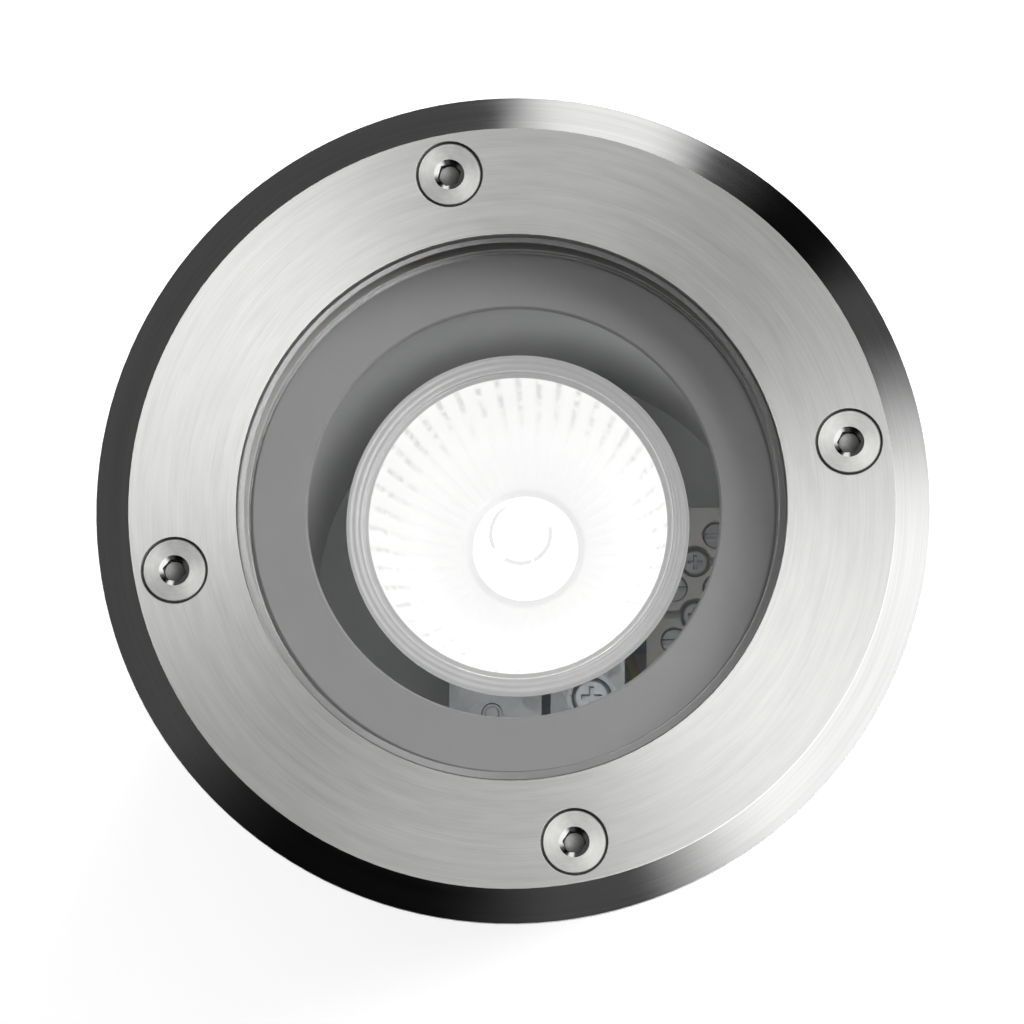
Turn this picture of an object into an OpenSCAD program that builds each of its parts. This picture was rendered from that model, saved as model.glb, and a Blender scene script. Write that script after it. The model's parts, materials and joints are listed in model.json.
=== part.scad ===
// In ground well light: a stainless bezel over stepped toughened glass, a cast can with a
// twist-lock reflector lamp and its wiring, and the plastic sleeve that is set in the ground.
// Millimetres, +Z up. The origin is the centre of the sleeve's foot, on the ground.
// Radii follow from the lamp outwards, and heights from the cable gland upwards.

/* [Lamp] */
// Diameter of the reflector lamp
lamp_d = 50; // [48:0.5:52]
// Length of the lamp from its face to the foot of its base
lamp_l = 46.5; // [45:0.5:50]
// Width of the glass rim round the lamp's bright mouth
lamp_rim_w = 3.2; // [2.8:0.1:4]
// Height of the lamp's rim
lamp_rim_h = 3.5; // [3:0.1:5]
// Spacing of the two pins
pin_spacing = 10; // [9.6:0.1:10.4]
// Diameter of the pins' heads
pin_head_d = 4.9; // [4.6:0.1:5]
// Diameter of the pins' necks
pin_neck_d = 2.8; // [2.4:0.1:3]
// Length of the pins
pin_l = 7.4; // [7:0.1:7.8]

/* [Glare ring] */
// Gap all round between the lamp's rim and the aperture of the flat ring under the glass
aperture_gap = 4.8; // [3:0.1:6]
// Thickness of the ring's sheet
ring_t = 1; // [0.8:0.1:1.4]
// Height of the ring's underside over the lamp's face
ring_over_lamp = 11.2; // [8:0.1:16]

/* [Glass and gasket] */
// Width of the ledge from the can's bore to the bezel's opening, which carries the ring
ledge_w = 4.65; // [4:0.05:6]
// Thickness of the toughened glass
glass_t = 8; // [7:0.1:10]
// Depth of the glass below the face of the bezel
glass_recess = 0.3; // [0.1:0.1:1]
// Gap all round between the glass and the bezel's opening
glass_gap = 0.3; // [0.2:0.05:0.6]
// Width of the ground bevel on the glass's upper edge
glass_bevel = 0.85; // [0.3:0.05:1.5]
// Width of the stepped rim that goes under the bezel
glass_rim_w = 2.9; // [2:0.1:3.6]
// Thickness of the gasket between the glass and the bezel
gasket_top_t = 0.8; // [0.5:0.1:1.5]
// Thickness of the gasket under the glass
gasket_foot_t = 1.2; // [1:0.1:2]
// Thickness of the gasket's outer wall
gasket_wall = 1; // [0.6:0.1:1.4]
// Width of the gasket's foot that shows through the glass
gasket_show_w = 1.4; // [0.8:0.1:2]

/* [Bezel] */
// Thickness of the bezel plate
bezel_t = 3; // [2.6:0.1:4]
// How far the bezel reaches past the can's flange
bezel_lip = 5.5; // [5:0.1:12]
// Width of the turned chamfer round the edge, seen from above
chamfer_w = 4.85; // [2:0.05:5.5]
// Height of the turned chamfer
chamfer_h = 2; // [1:0.1:2.3]
// Height of the raised rim under the bezel's edge, which rests on the paving
rim_h = 0.3; // [0.2:0.05:0.6]

/* [Bezel screws] */
// Number of screws that hold the bezel
screw_count = 4; // [3:1:6]
// Angle of the first screw, from +X towards +Y
first_screw_angle = 100.5; // [90:0.5:120]
// Thread diameter of the screws
screw_d = 5; // [4:0.1:5.4]
// Length from the face of the head to the tip
screw_l = 16; // [14:0.5:20]
// Diameter of the head's face
screw_head_d = 9.1; // [8.4:0.1:9.6]
// Gap all round between the head and its countersink
sink_gap = 0.3; // [0.2:0.05:0.5]
// Width across the flats of the hexagon socket
socket_w = 3; // [2.5:0.1:3.4]
// Depth of the hexagon socket
socket_depth = 2.2; // [1.5:0.1:2.8]
// Wall of the brass thread inserts
insert_wall = 0.9; // [0.7:0.1:1.2]
// Length of the thread inserts
insert_l = 10; // [8:0.5:12]
// Metal between the glass pocket and the thread inserts
insert_cover = 2.2; // [1.6:0.1:4]

/* [Can] */
// Gap all round between the lamp and the can's wall, for the fingers that turn the lamp
finger_gap = 10; // [10:0.5:14]
// Wall of the can
can_wall = 3.2; // [2.6:0.1:4]
// Thickness of the can's floor
can_floor_t = 3.5; // [3:0.1:5]
// Thickness of the flange
flange_t = 5; // [4:0.1:6]
// Wall round the glass pocket, and its floor's thickness
pocket_wall = 3; // [2.5:0.1:3.4]
// Wall of the bosses round the thread inserts
boss_wall = 1.7; // [1.3:0.1:2.5]
// Thickness of the bosses' closed ends
boss_floor_t = 2.5; // [1.5:0.1:4]
// Number of cooling ribs down the can
rib_count = 12; // [8:4:24]
// Thickness of a cooling rib
rib_t = 2; // [1.6:0.1:3]
// How far a cooling rib stands out of the can
rib_w = 2.4; // [1.5:0.1:4]

/* [Sleeve] */
// Gap all round between the can's ribs and the sleeve
sleeve_gap = 1.4; // [1:0.1:3]
// Wall of the plastic sleeve
sleeve_wall = 2.1; // [1.8:0.1:3]
// How far the sleeve's foot reaches out of its wall
foot_lip = 1.9; // [1:0.1:4]
// Diameter of the opening in the sleeve's floor
drain_d = 60; // [54:0.5:72]
// Number of gussets under the collar
gusset_count = 8; // [4:1:12]
// Height of the gussets
gusset_h = 38; // [20:1:60]
// Thickness of the gussets
gusset_t = 2; // [1.5:0.1:3]
// Width of the cable notches at the foot
notch_w = 16; // [12:0.5:20]
// Height of the cable notches
notch_h = 24; // [18:0.5:30]

/* [Cable gland] */
// Height of the gland's cap over the ground
gland_over_ground = 4.3; // [3:0.1:20]
// Diameter of the cable hole through the seal
cable_hole_d = 8.2; // [7:0.1:9]
// Thickness of the seal round the cable
seal_wall = 2.2; // [1.6:0.1:2.8]
// Thickness of the gland's thread round the seal
gland_wall = 1.7; // [1.3:0.1:2.2]
// Thickness of the gland's hexagons round its thread
gland_hex_wall = 2; // [1.6:0.1:2.6]
// Length of the gland below the can's floor
gland_l = 19.8; // [18:0.1:24]
// Thickness of the gland's sealing washer
gland_washer_t = 1.6; // [1:0.1:2]
// Thickness of the locknut inside the can
locknut_t = 4; // [3:0.1:5]

/* [Lampholder] */
// Diameter of the ceramic lampholder
holder_d = 30; // [29:0.5:33]
// Height of the lampholder
holder_h = 16.4; // [15:0.1:20]
// Turn that frees the lamp from the lampholder
twist_angle = 40; // [30:1:42]
// Distance of the lampholder's two screws from its edge
holder_screw_inset = 4.5; // [4:0.1:4.8]
// Thread diameter of the lampholder's screws
holder_screw_d = 3; // [2.5:0.1:3.2]

/* [Bracket] */
// Width of the pressed strap that carries the lampholder
strap_w = 27; // [25:0.5:30]
// Thickness of the strap
strap_t = 1.2; // [1:0.1:1.6]
// Height of the wiring space under the strap's top
wiring_h = 17; // [15:0.1:24]
// Distance of the strap's two fixing screws from the can's wall
strap_screw_inset = 5.7; // [5:0.1:6.5]
// Gap from those screws to the strap's legs
strap_leg_gap = 4.1; // [3.8:0.1:6]
// Width of the strap's feet
strap_foot_w = 15; // [12:0.5:17]
// Thread diameter of the strap's screws
strap_screw_d = 4; // [3.5:0.1:4.4]

/* [Terminal block] */
// Spacing of the poles
pole_pitch = 8.2; // [8:0.1:9]
// Room for the leads between the gland's locknut and the block
lead_room = 5; // [4.5:0.1:6]
// Height of the block
block_h = 12; // [11.5:0.1:14]
// Gap between the block's corners and the can's wall
block_gap = 1; // [0.6:0.1:1.6]

/* [Leads] */
// Diameter of the silicone leads
lead_d = 2.4; // [2:0.1:2.6]

/* [Hidden] */
$fn = 96;

// Clearances: between bodies that part, round a thread, round a pressed piece, and round a
// screw that passes through; then the overshoot of a cut and the overlap of fused shapes
body_gap = 0.3;
thread_gap = 0.1;
press_gap = 0.05;
screw_gap = 0.2;
past = 1;
lap = 0.5;

// Heights, from the ground to the bezel's face
z_gland_foot = gland_over_ground;
z_floor_under = z_gland_foot + gland_l;
z_floor = z_floor_under + can_floor_t;
z_strap_under = z_floor + wiring_h;
z_strap = z_strap_under + strap_t;
z_holder = z_strap + holder_h;
z_lamp_foot = z_holder + body_gap;
z_lamp = z_lamp_foot + lamp_l;
z_ledge = z_lamp + ring_over_lamp;
z_gasket_foot = z_ledge + body_gap;
z_glass_foot = z_gasket_foot + gasket_foot_t;
z_glass = z_glass_foot + glass_t;
z_face = z_glass + glass_recess;
z_bezel = z_face - bezel_t;
z_glass_step = z_bezel - gasket_top_t;
z_flange = z_bezel - body_gap;

// Radii, from the lamp to the bezel's edge
lamp_r = lamp_d / 2;
mouth_r = lamp_r - lamp_rim_w;
aperture_r = lamp_r + aperture_gap;
can_r = lamp_r + finger_gap;
can_outer_r = can_r + can_wall;
opening_r = can_r + ledge_w;
glass_r = opening_r - glass_gap;
glass_rim_r = glass_r + glass_rim_w;
gasket_foot_r = opening_r - gasket_show_w;
gasket_inner_r = glass_rim_r + body_gap / 2;
gasket_r = gasket_inner_r + gasket_wall;
pocket_r = gasket_r + body_gap;
insert_r = screw_d / 2 + insert_wall;
screw_circle_r = pocket_r + insert_cover + insert_r;
boss_r = insert_r + boss_wall;
flange_r = screw_circle_r + boss_r + thread_gap;
bezel_r = flange_r + bezel_lip;

// Bosses of the bezel screws, and the sleeve's shelf under them
tip_room = 1;
z_screw_hole = z_face - screw_l - tip_room;
z_boss_foot = z_screw_hole - boss_floor_t;
z_shelf = z_boss_foot - body_gap;
z_shelf_under = z_shelf - sleeve_wall;
collar_r = flange_r + body_gap + thread_gap;
collar_outer_r = collar_r + sleeve_wall;
sleeve_r = can_outer_r + rib_w + sleeve_gap;
sleeve_outer_r = sleeve_r + sleeve_wall;
foot_r = sleeve_outer_r + foot_lip;

// Bosses under the can's floor: wall, closed end, room under a screw's tip, and heights
floor_boss_wall = 2.5;
floor_boss_end = 1;
floor_tip_gap = 0.4;
strap_boss_h = 4;
block_boss_h = 3;

// Lamp: cover glass, reflector, base and capsule
cover_t = 1.8;
cover_drop = 0.2;
cover_lap = 0.9;
cover_r = mouth_r + cover_lap;
z_cover = z_lamp - cover_drop - cover_t;
neck_r = 9.6;
neck_wall = 1.8;
neck_l = 7;
base_r = 12;
base_h = 14.5;
base_socket_h = 2.6;
z_base_top = z_lamp_foot + base_h;
z_neck = z_base_top - base_socket_h + thread_gap;
z_bowl = z_neck + neck_l;
z_bowl_top = z_lamp - lamp_rim_h;
capsule_r = 4.7;
capsule_wall = 0.8;
capsule_dome_h = 2.4;
capsule_clear = 6.2;
pinch_size = [9, 3.2, 13];
pinch_drop = 6;
z_pinch = z_base_top - pinch_drop;
wire_x = 2.2;
wire_r = 0.3;
pin_head_l = 4.5;

// Lampholder: lip over the pins' heads, contacts, and play round the pins
holder_lip_t = 2.2;
z_lip_under = z_holder - holder_lip_t;
contact_t = 1.2;
z_contact = z_lamp_foot - pin_l - body_gap;
track_w = pin_head_d + 0.9;
slot_w = pin_neck_d + 0.7;
stem_d = 1.8;
holder_sink = 2.6;
holder_screw_r = holder_d / 2 - holder_screw_inset;
nut_t = 0.8 * holder_screw_d;

// Strap: its ends, and a stamped pip, a slot and the earth screw beside the lampholder
strap_screw_r = can_r - strap_screw_inset;
strap_leg_y = strap_screw_r - strap_leg_gap;
strap_end_gap = 1.7;
y_beside_holder = -holder_d / 2;
pip_at = [-6.9, y_beside_holder - 5];
pip_d = 3.1;
pip_button_d = 2;
pip_depth = 0.5;
pip_button_drop = 0.1;
slot_at = [1.4, y_beside_holder - 3.2];
slot_size = [1.3, 5.6];
earth_at = [8.5, y_beside_holder - 3];
earth_screw_d = 3.5;
earth_washer_t = 0.5;
earth_washer_r = pan_d(earth_screw_d) / 2 + 0.35;
ring_terminal_d = 7.8;
ring_terminal_t = 0.8;
crimp_wall = 0.45;
crimp_r = lead_d / 2 + crimp_wall;
crimp_l = 5;
crimp_x = earth_at[0] + 5.5;
crimp_lift = ring_terminal_t + 0.6;

// Gland: heights over its cap's mouth, and radii
gland_seal_r = cable_hole_d / 2 + seal_wall;
gland_d = 2 * (gland_seal_r + gland_wall);
gland_hex_w = gland_d + 2 * gland_hex_wall;
gland_corner_r = gland_hex_w / 2 / cos(30);
gland_hex_t = 4;
gland_cap_h = 10;
gland_mouth_t = 1.8;
gland_thread_low = 4;
gland_seat_h = 7.5;
gland_seal_low = 2;
gland_seal_l = 9.3;
z_gland = z_floor_under - gland_washer_t;
z_gland_top = z_floor + locknut_t + past;

// Terminal block
pole_count = 3;
block_end_t = 0.2;
block_l = pole_count * pole_pitch + 2 * block_end_t;
x_front = gland_corner_r + lead_room;
block_w = sqrt(pow(can_r - block_gap, 2) - pow(block_l / 2, 2)) - x_front;
block_x = x_front + block_w / 2;
block_screw_d = 2.5;
block_screw_drop = 2.5;
clamp_d = 4.8;
clamp_bore_d = 3;
clamp_end_gap = 2;
clamp_l = block_w - 2 * clamp_end_gap;
z_wire = z_floor + block_h / 2;
terminal_screw_d = 2.8;
terminal_screw_x = clamp_l / 2 - 2.3;
terminal_head_h = 1.4;
terminal_head_drop = 1;
terminal_head_w = 0.5;
terminal_slot_w = 0.7;
x_pole = block_x - terminal_screw_x;

// Routes of the leads, from the lampholder or the ring terminal into the terminal block
live_route = [
    [pin_spacing / 2, 0, z_strap],
    [pin_spacing / 2, 0, z_strap - 1.5],
    [pin_spacing / 2, 0, z_strap - 3.5],
    [6, 2.5, z_strap - 7.5],
    [9, 6.3, z_wire + 1.6],
    [x_front - 3.5, pole_pitch - 0.2, z_wire],
    [x_front + 0.5, pole_pitch, z_wire],
    [x_pole, pole_pitch, z_wire]
];
neutral_route = [
    [-pin_spacing / 2, 0, z_strap],
    [-pin_spacing / 2, 0, z_strap - 1.5],
    [-pin_spacing / 2, 0, z_strap - 3.5],
    [-3.5, -3, z_strap - 7.5],
    [2, -6.8, z_wire + 1.4],
    [x_front - 8.5, -pole_pitch + 0.2, z_wire],
    [x_front - 2.5, -pole_pitch, z_wire],
    [x_pole, -pole_pitch, z_wire]
];
earth_route = [
    [crimp_x + 1, earth_at[1], z_strap + crimp_lift],
    [crimp_x + crimp_l, earth_at[1], z_strap + crimp_lift],
    [crimp_x + crimp_l + 0.8, earth_at[1], z_strap + crimp_lift],
    [21.6, -18.1, z_strap - 1.5],
    [21.5, -18, z_strap - 6],
    [18.5, -16.5, z_floor + 5],
    [x_front - 2, -13, z_floor + 2.8],
    [x_front - 3.5, -8, z_floor + 2.6],
    [x_front - 3.7, -3.5, z_floor + 4],
    [x_front - 2.5, -0.4, z_wire],
    [x_front + 0.5, 0, z_wire],
    [x_pole, 0, z_wire]
];

// Pan head for a thread of diameter d
function pan_d(d) = 1.8 * d;
function pan_h(d) = 0.62 * d;

// Half outline of a pan head: flat seat, short wall, domed top
function pan_profile(r, h) =
    let (crown_r = 0.72 * r, wall_h = 0.45 * h)
    concat(
        [[0, 0], [r, 0], [r, wall_h]],
        [
            for (a = [15 : 15 : 75])
                [crown_r + (r - crown_r) * cos(a), wall_h + (h - wall_h) * sin(a)]
        ],
        [[crown_r, h], [0, h]]
    );

// Pan-headed screw with its head's seat at z = 0 and its shank going down
module pan_screw(d, l) {
    slot_l = pan_d(d) / 2;
    slot_w = d / 5;
    translate([0, 0, -l]) cylinder(d = d, h = l);
    difference() {
        rotate_extrude() polygon(pan_profile(pan_d(d) / 2, pan_h(d)));
        for (a = [0, 90]) rotate(a) translate([-slot_l / 2, -slot_w / 2, pan_h(d) / 2])
            cube([slot_l, slot_w, pan_h(d)]);
    }
}

// Hexagon prism given by its width across the flats
module hexagon(w, h) {
    cylinder(d = w / cos(30), h = h, $fn = 6);
}

// Round tube standing on z = 0
module tube(outer_r, inner_r, h) {
    difference() {
        cylinder(r = outer_r, h = h);
        bore(2 * inner_r, h);
    }
}

// Cut of diameter d right through a piece of height h that stands on z = 0
module bore(d, h) {
    translate([0, 0, -past]) cylinder(d = d, h = h + 2 * past);
}

module at_bezel_screws() {
    for (i = [0 : screw_count - 1]) rotate(first_screw_angle + i * 360 / screw_count)
        translate([screw_circle_r, 0, 0]) children();
}

module at_strap_screws() {
    for (s = [-1, 1]) translate([0, s * strap_screw_r, 0]) children();
}

module at_holder_screws() {
    for (s = [-1, 1]) translate([0, s * holder_screw_r, 0]) children();
}

module at_block_screws() {
    for (s = [-1, 1]) translate([block_x, s * pole_pitch / 2, 0]) children();
}

module at_poles() {
    for (i = [0 : pole_count - 1])
        translate([block_x, (i - (pole_count - 1) / 2) * pole_pitch, 0]) children();
}

// Bezel group
module bezel() {
    hole_r = screw_d / 2 + body_gap;
    sink_r = screw_head_d / 2 + sink_gap;
    sink_h = sink_r - hole_r;
    rim_r = collar_outer_r + body_gap + thread_gap;
    color("silver") difference() {
        rotate_extrude() polygon([
            [opening_r, z_bezel],
            [rim_r, z_bezel],
            [rim_r, z_bezel - rim_h],
            [bezel_r, z_bezel - rim_h],
            [bezel_r, z_face - chamfer_h],
            [bezel_r - chamfer_w, z_face],
            [opening_r, z_face]
        ]);
        at_bezel_screws() {
            translate([0, 0, z_bezel]) bore(2 * hole_r, bezel_t);
            translate([0, 0, z_face - sink_h]) cylinder(r1 = hole_r, r2 = sink_r, h = sink_h);
        }
    }
}

// Countersunk screws, their heads a hair below the bezel's face
module bezel_screws() {
    head_r = screw_head_d / 2;
    shank_r = screw_d / 2;
    drop = 0.1;
    edge = 0.15;
    land = sink_gap - drop;
    tip = 0.8;
    cone_h = head_r - shank_r;
    socket_edge = 0.35;
    socket_mouth_r = socket_w / 2 / cos(30) + socket_edge;
    color("gainsboro") at_bezel_screws() translate([0, 0, z_face]) difference() {
        rotate_extrude() polygon([
            [0, -screw_l],
            [shank_r - tip, -screw_l],
            [shank_r, -screw_l + tip],
            [shank_r, -drop - land - cone_h],
            [head_r, -drop - land],
            [head_r, -drop - edge],
            [head_r - edge, -drop],
            [0, -drop]
        ]);
        translate([0, 0, -drop - socket_depth]) hexagon(socket_w, socket_depth + past);
        translate([0, 0, -drop - socket_edge])
            cylinder(r1 = socket_mouth_r - socket_edge, r2 = socket_mouth_r, h = socket_edge);
    }
}

// Glass with a stepped rim that the bezel holds down, and a bevelled upper edge
module glass_lens() {
    color("lightcyan", 0.35) rotate_extrude() polygon([
        [0, z_glass_foot],
        [glass_rim_r, z_glass_foot],
        [glass_rim_r, z_glass_step],
        [glass_r, z_glass_step],
        [glass_r, z_glass - glass_bevel],
        [glass_r - glass_bevel, z_glass],
        [0, z_glass]
    ]);
}

// Gasket of C section round the glass's rim
module glass_gasket() {
    lip_r = opening_r + 0.4;
    color("dimgray") rotate_extrude() polygon([
        [gasket_foot_r, z_gasket_foot],
        [gasket_r, z_gasket_foot],
        [gasket_r, z_bezel],
        [lip_r, z_bezel],
        [lip_r, z_glass_step],
        [gasket_inner_r, z_glass_step],
        [gasket_inner_r, z_glass_foot],
        [gasket_foot_r, z_glass_foot]
    ]);
}

// Cast can with its flange, glass pocket, ribs and bosses
module can() {
    pocket_outer_r = pocket_r + pocket_wall;
    z_pocket_under = z_ledge - pocket_wall;
    z_rib_foot = z_floor_under + can_floor_t / 2;
    z_rib_top = z_pocket_under + pocket_wall / 2;
    rib_root_r = can_r + can_wall / 2;
    color("slategray") difference() {
        union() {
            rotate_extrude() polygon([
                [0, z_floor_under],
                [can_outer_r, z_floor_under],
                [can_outer_r, z_pocket_under],
                [pocket_outer_r, z_pocket_under],
                [pocket_outer_r, z_flange - flange_t],
                [flange_r, z_flange - flange_t],
                [flange_r, z_flange],
                [pocket_r, z_flange],
                [pocket_r, z_ledge],
                [can_r, z_ledge],
                [can_r, z_floor],
                [0, z_floor]
            ]);
            at_bezel_screws() translate([0, 0, z_boss_foot])
                cylinder(r = boss_r, h = z_flange - flange_t / 2 - z_boss_foot);
            for (i = [0 : rib_count - 1])
                rotate(i * 360 / rib_count) translate([rib_root_r, -rib_t / 2, z_rib_foot])
                    cube([can_outer_r + rib_w - rib_root_r, rib_t, z_rib_top - z_rib_foot]);
            at_strap_screws() floor_boss(strap_screw_d, strap_boss_h);
            at_block_screws() floor_boss(block_screw_d, block_boss_h);
        }
        at_bezel_screws() {
            translate([0, 0, z_flange - body_gap - insert_l])
                cylinder(r = insert_r + press_gap, h = insert_l + body_gap + past);
            translate([0, 0, z_screw_hole])
                cylinder(r = screw_d / 2 + body_gap, h = z_flange - z_screw_hole);
        }
        translate([0, 0, z_floor_under]) bore(gland_d + 2 * press_gap, can_floor_t);
        at_strap_screws() floor_boss_hole(strap_screw_d, strap_boss_h);
        at_block_screws() floor_boss_hole(block_screw_d, block_boss_h);
    }
}

// Closed boss of height h under the can's floor, for a screw of diameter d
module floor_boss(d, h) {
    translate([0, 0, z_floor_under - h]) cylinder(r = d / 2 + floor_boss_wall, h = h + lap);
}

module floor_boss_hole(d, h) {
    z_end = z_floor_under - h + floor_boss_end;
    translate([0, 0, z_end]) cylinder(r = d / 2 + press_gap, h = z_floor + past - z_end);
}

// Length in the metal of a screw that ends in a boss of height h under the can's floor
function floor_screw_l(h) = can_floor_t + h - floor_boss_end - floor_tip_gap;

// Brass inserts with two grooves that lock them in the casting
module thread_inserts() {
    groove_w = 1;
    groove_depth = 0.35;
    z_top = z_flange - body_gap;
    color("gold") at_bezel_screws() difference() {
        translate([0, 0, z_top - insert_l]) tube(insert_r, screw_d / 2 + thread_gap, insert_l);
        for (f = [0.3, 0.6]) translate([0, 0, z_top - insert_l * f])
            tube(insert_r + past, insert_r - groove_depth, groove_w);
    }
}

// Flat ring that hides the can's wall, lying on the pocket's ledge
module glare_ring() {
    outer_r = gasket_foot_r - body_gap;
    edge = 0.3;
    color("gray") translate([0, 0, z_ledge]) rotate_extrude() polygon([
        [aperture_r, 0],
        [outer_r, 0],
        [outer_r, ring_t - edge],
        [outer_r - edge, ring_t],
        [aperture_r + edge, ring_t],
        [aperture_r, ring_t - edge]
    ]);
}

// Sleeve that stays in the ground: foot, tube, shelf and collar
module ground_sleeve() {
    color("dimgray") difference() {
        union() {
            rotate_extrude() polygon([
                [drain_d / 2, 0],
                [foot_r, 0],
                [foot_r, sleeve_wall],
                [sleeve_outer_r, sleeve_wall],
                [sleeve_outer_r, z_shelf_under],
                [collar_outer_r, z_shelf_under],
                [collar_outer_r, z_flange],
                [collar_r, z_flange],
                [collar_r, z_shelf],
                [sleeve_r, z_shelf],
                [sleeve_r, sleeve_wall],
                [drain_d / 2, sleeve_wall]
            ]);
            for (i = [0 : gusset_count - 1]) rotate((i + 0.5) * 360 / gusset_count) gusset();
        }
        for (a = [0, 180]) rotate(a) cable_notch();
    }
}

// Triangular gusset under the collar
module gusset() {
    tip_w = 1;
    end_h = 2;
    inset = 1.5;
    rotate([90, 0, 0]) translate([0, 0, -gusset_t / 2]) linear_extrude(gusset_t) polygon([
        [sleeve_outer_r - lap, z_shelf_under - gusset_h],
        [sleeve_outer_r + tip_w, z_shelf_under - gusset_h],
        [collar_outer_r - inset, z_shelf_under - end_h],
        [collar_outer_r - inset, z_shelf_under + lap],
        [sleeve_outer_r - lap, z_shelf_under + lap]
    ]);
}

// Arched notch through the sleeve's wall
module cable_notch() {
    x_in = sleeve_r - past;
    l = foot_r + past - x_in;
    z_arch = notch_h - notch_w / 2;
    translate([x_in, -notch_w / 2, sleeve_wall]) cube([l, notch_w, z_arch - sleeve_wall]);
    translate([x_in, 0, z_arch]) rotate([0, 90, 0]) cylinder(d = notch_w, h = l);
}

// Cable gland in the can's floor: body with its hexagon and thread, and a seat for the seal
module gland_body() {
    bore_r = cable_hole_d / 2 + lap;
    z_thread = z_gland_foot + gland_thread_low;
    color("black") difference() {
        union() {
            translate([0, 0, z_thread]) cylinder(d = gland_d, h = z_gland_top - z_thread);
            translate([0, 0, z_gland - gland_hex_t]) hexagon(gland_hex_w, gland_hex_t);
        }
        translate([0, 0, z_gland_foot]) cylinder(r = bore_r, h = z_gland_top);
        translate([0, 0, z_gland_foot])
            cylinder(r = gland_seal_r + press_gap, h = gland_thread_low + gland_seat_h);
    }
}

module gland_washer() {
    color("dimgray") translate([0, 0, z_gland])
        tube(gland_hex_w / 2, gland_d / 2 + press_gap, gland_washer_t);
}

module gland_locknut() {
    color("black") translate([0, 0, z_floor]) difference() {
        hexagon(gland_hex_w, locknut_t);
        bore(gland_d + 2 * thread_gap, locknut_t);
    }
}

module gland_seal() {
    color("dimgray") translate([0, 0, z_gland_foot + gland_seal_low])
        tube(gland_seal_r, cable_hole_d / 2, gland_seal_l);
}

// Domed cap of the gland, hexagonal above and rounded at its mouth
module gland_cap() {
    wall_r = gland_corner_r;
    dome_r = 4;
    mouth_gap = 0.5;
    seal_room = 2;
    color("black") translate([0, 0, z_gland_foot]) difference() {
        intersection() {
            hexagon(gland_hex_w, gland_cap_h);
            rotate_extrude() polygon(concat(
                [[0, 0]],
                [for (a = [0 : 15 : 90]) [wall_r - dome_r * (1 - sin(a)), dome_r * (1 - cos(a))]],
                [[wall_r, gland_cap_h], [0, gland_cap_h]]
            ));
        }
        bore(cable_hole_d + 2 * mouth_gap, gland_mouth_t);
        translate([0, 0, gland_mouth_t])
            cylinder(r = gland_seal_r + thread_gap, h = seal_room + past);
        translate([0, 0, gland_mouth_t + seal_room])
            cylinder(d = gland_d + 2 * thread_gap, h = gland_cap_h);
    }
}

// Ceramic lampholder with two T-shaped tracks for the pins
module lampholder() {
    edge = 1.2;
    play = 0.3;
    track_r = pin_spacing / 2;
    head_r = pan_d(holder_screw_d) / 2;
    color("ivory") difference() {
        rotate_extrude() polygon([
            [0, z_strap],
            [holder_d / 2, z_strap],
            [holder_d / 2, z_holder - edge],
            [holder_d / 2 - edge, z_holder],
            [0, z_holder]
        ]);
        for (side = [0, 180]) rotate(side) {
            pin_track(track_r, track_w + play, z_contact - contact_t, z_lip_under);
            pin_track(track_r, slot_w, z_lip_under - past, z_holder + past);
            rotate(twist_angle / 2) translate([track_r, 0, z_lip_under]) bore(track_w, holder_lip_t);
            translate([track_r, 0, z_strap - past])
                cylinder(d = stem_d + 2 * screw_gap, h = z_contact - z_strap);
        }
        at_holder_screws() {
            translate([0, 0, z_strap]) bore(holder_screw_d + 2 * screw_gap, holder_h);
            translate([0, 0, z_holder - holder_sink])
                cylinder(r = head_r + 2 * screw_gap, h = holder_sink + past);
        }
    }
}

// Arc of a groove from z_low to z_high that lets a pin of width w make the lamp's turn
module pin_track(r, w, z_low, z_high) {
    spread = twist_angle / 2 + asin(w / 2 / r);
    rotate(-spread) translate([0, 0, z_low]) rotate_extrude(angle = 2 * spread)
        translate([r - w / 2, 0]) square([w, z_high - z_low]);
}

// The lamp is at the locked end of its turn
module locked() {
    rotate(-twist_angle / 2) children();
}

module lampholder_contacts() {
    w = track_w - 1.6;
    stem_l = z_contact - contact_t - z_strap;
    color("goldenrod") for (side = [0, 180]) rotate(side) {
        pin_track(pin_spacing / 2, w, z_contact - contact_t, z_contact);
        translate([pin_spacing / 2, 0, z_strap]) cylinder(d = stem_d, h = stem_l + contact_t / 2);
    }
}

module lampholder_screws() {
    tip = 0.6;
    color("silver") at_holder_screws() translate([0, 0, z_holder - holder_sink])
        pan_screw(holder_screw_d, holder_h - holder_sink + strap_t + nut_t + tip);
}

module lampholder_nuts() {
    color("silver") at_holder_screws() translate([0, 0, z_strap_under - nut_t]) difference() {
        hexagon(pan_d(holder_screw_d), nut_t);
        bore(holder_screw_d + 2 * press_gap, nut_t);
    }
}

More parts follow.
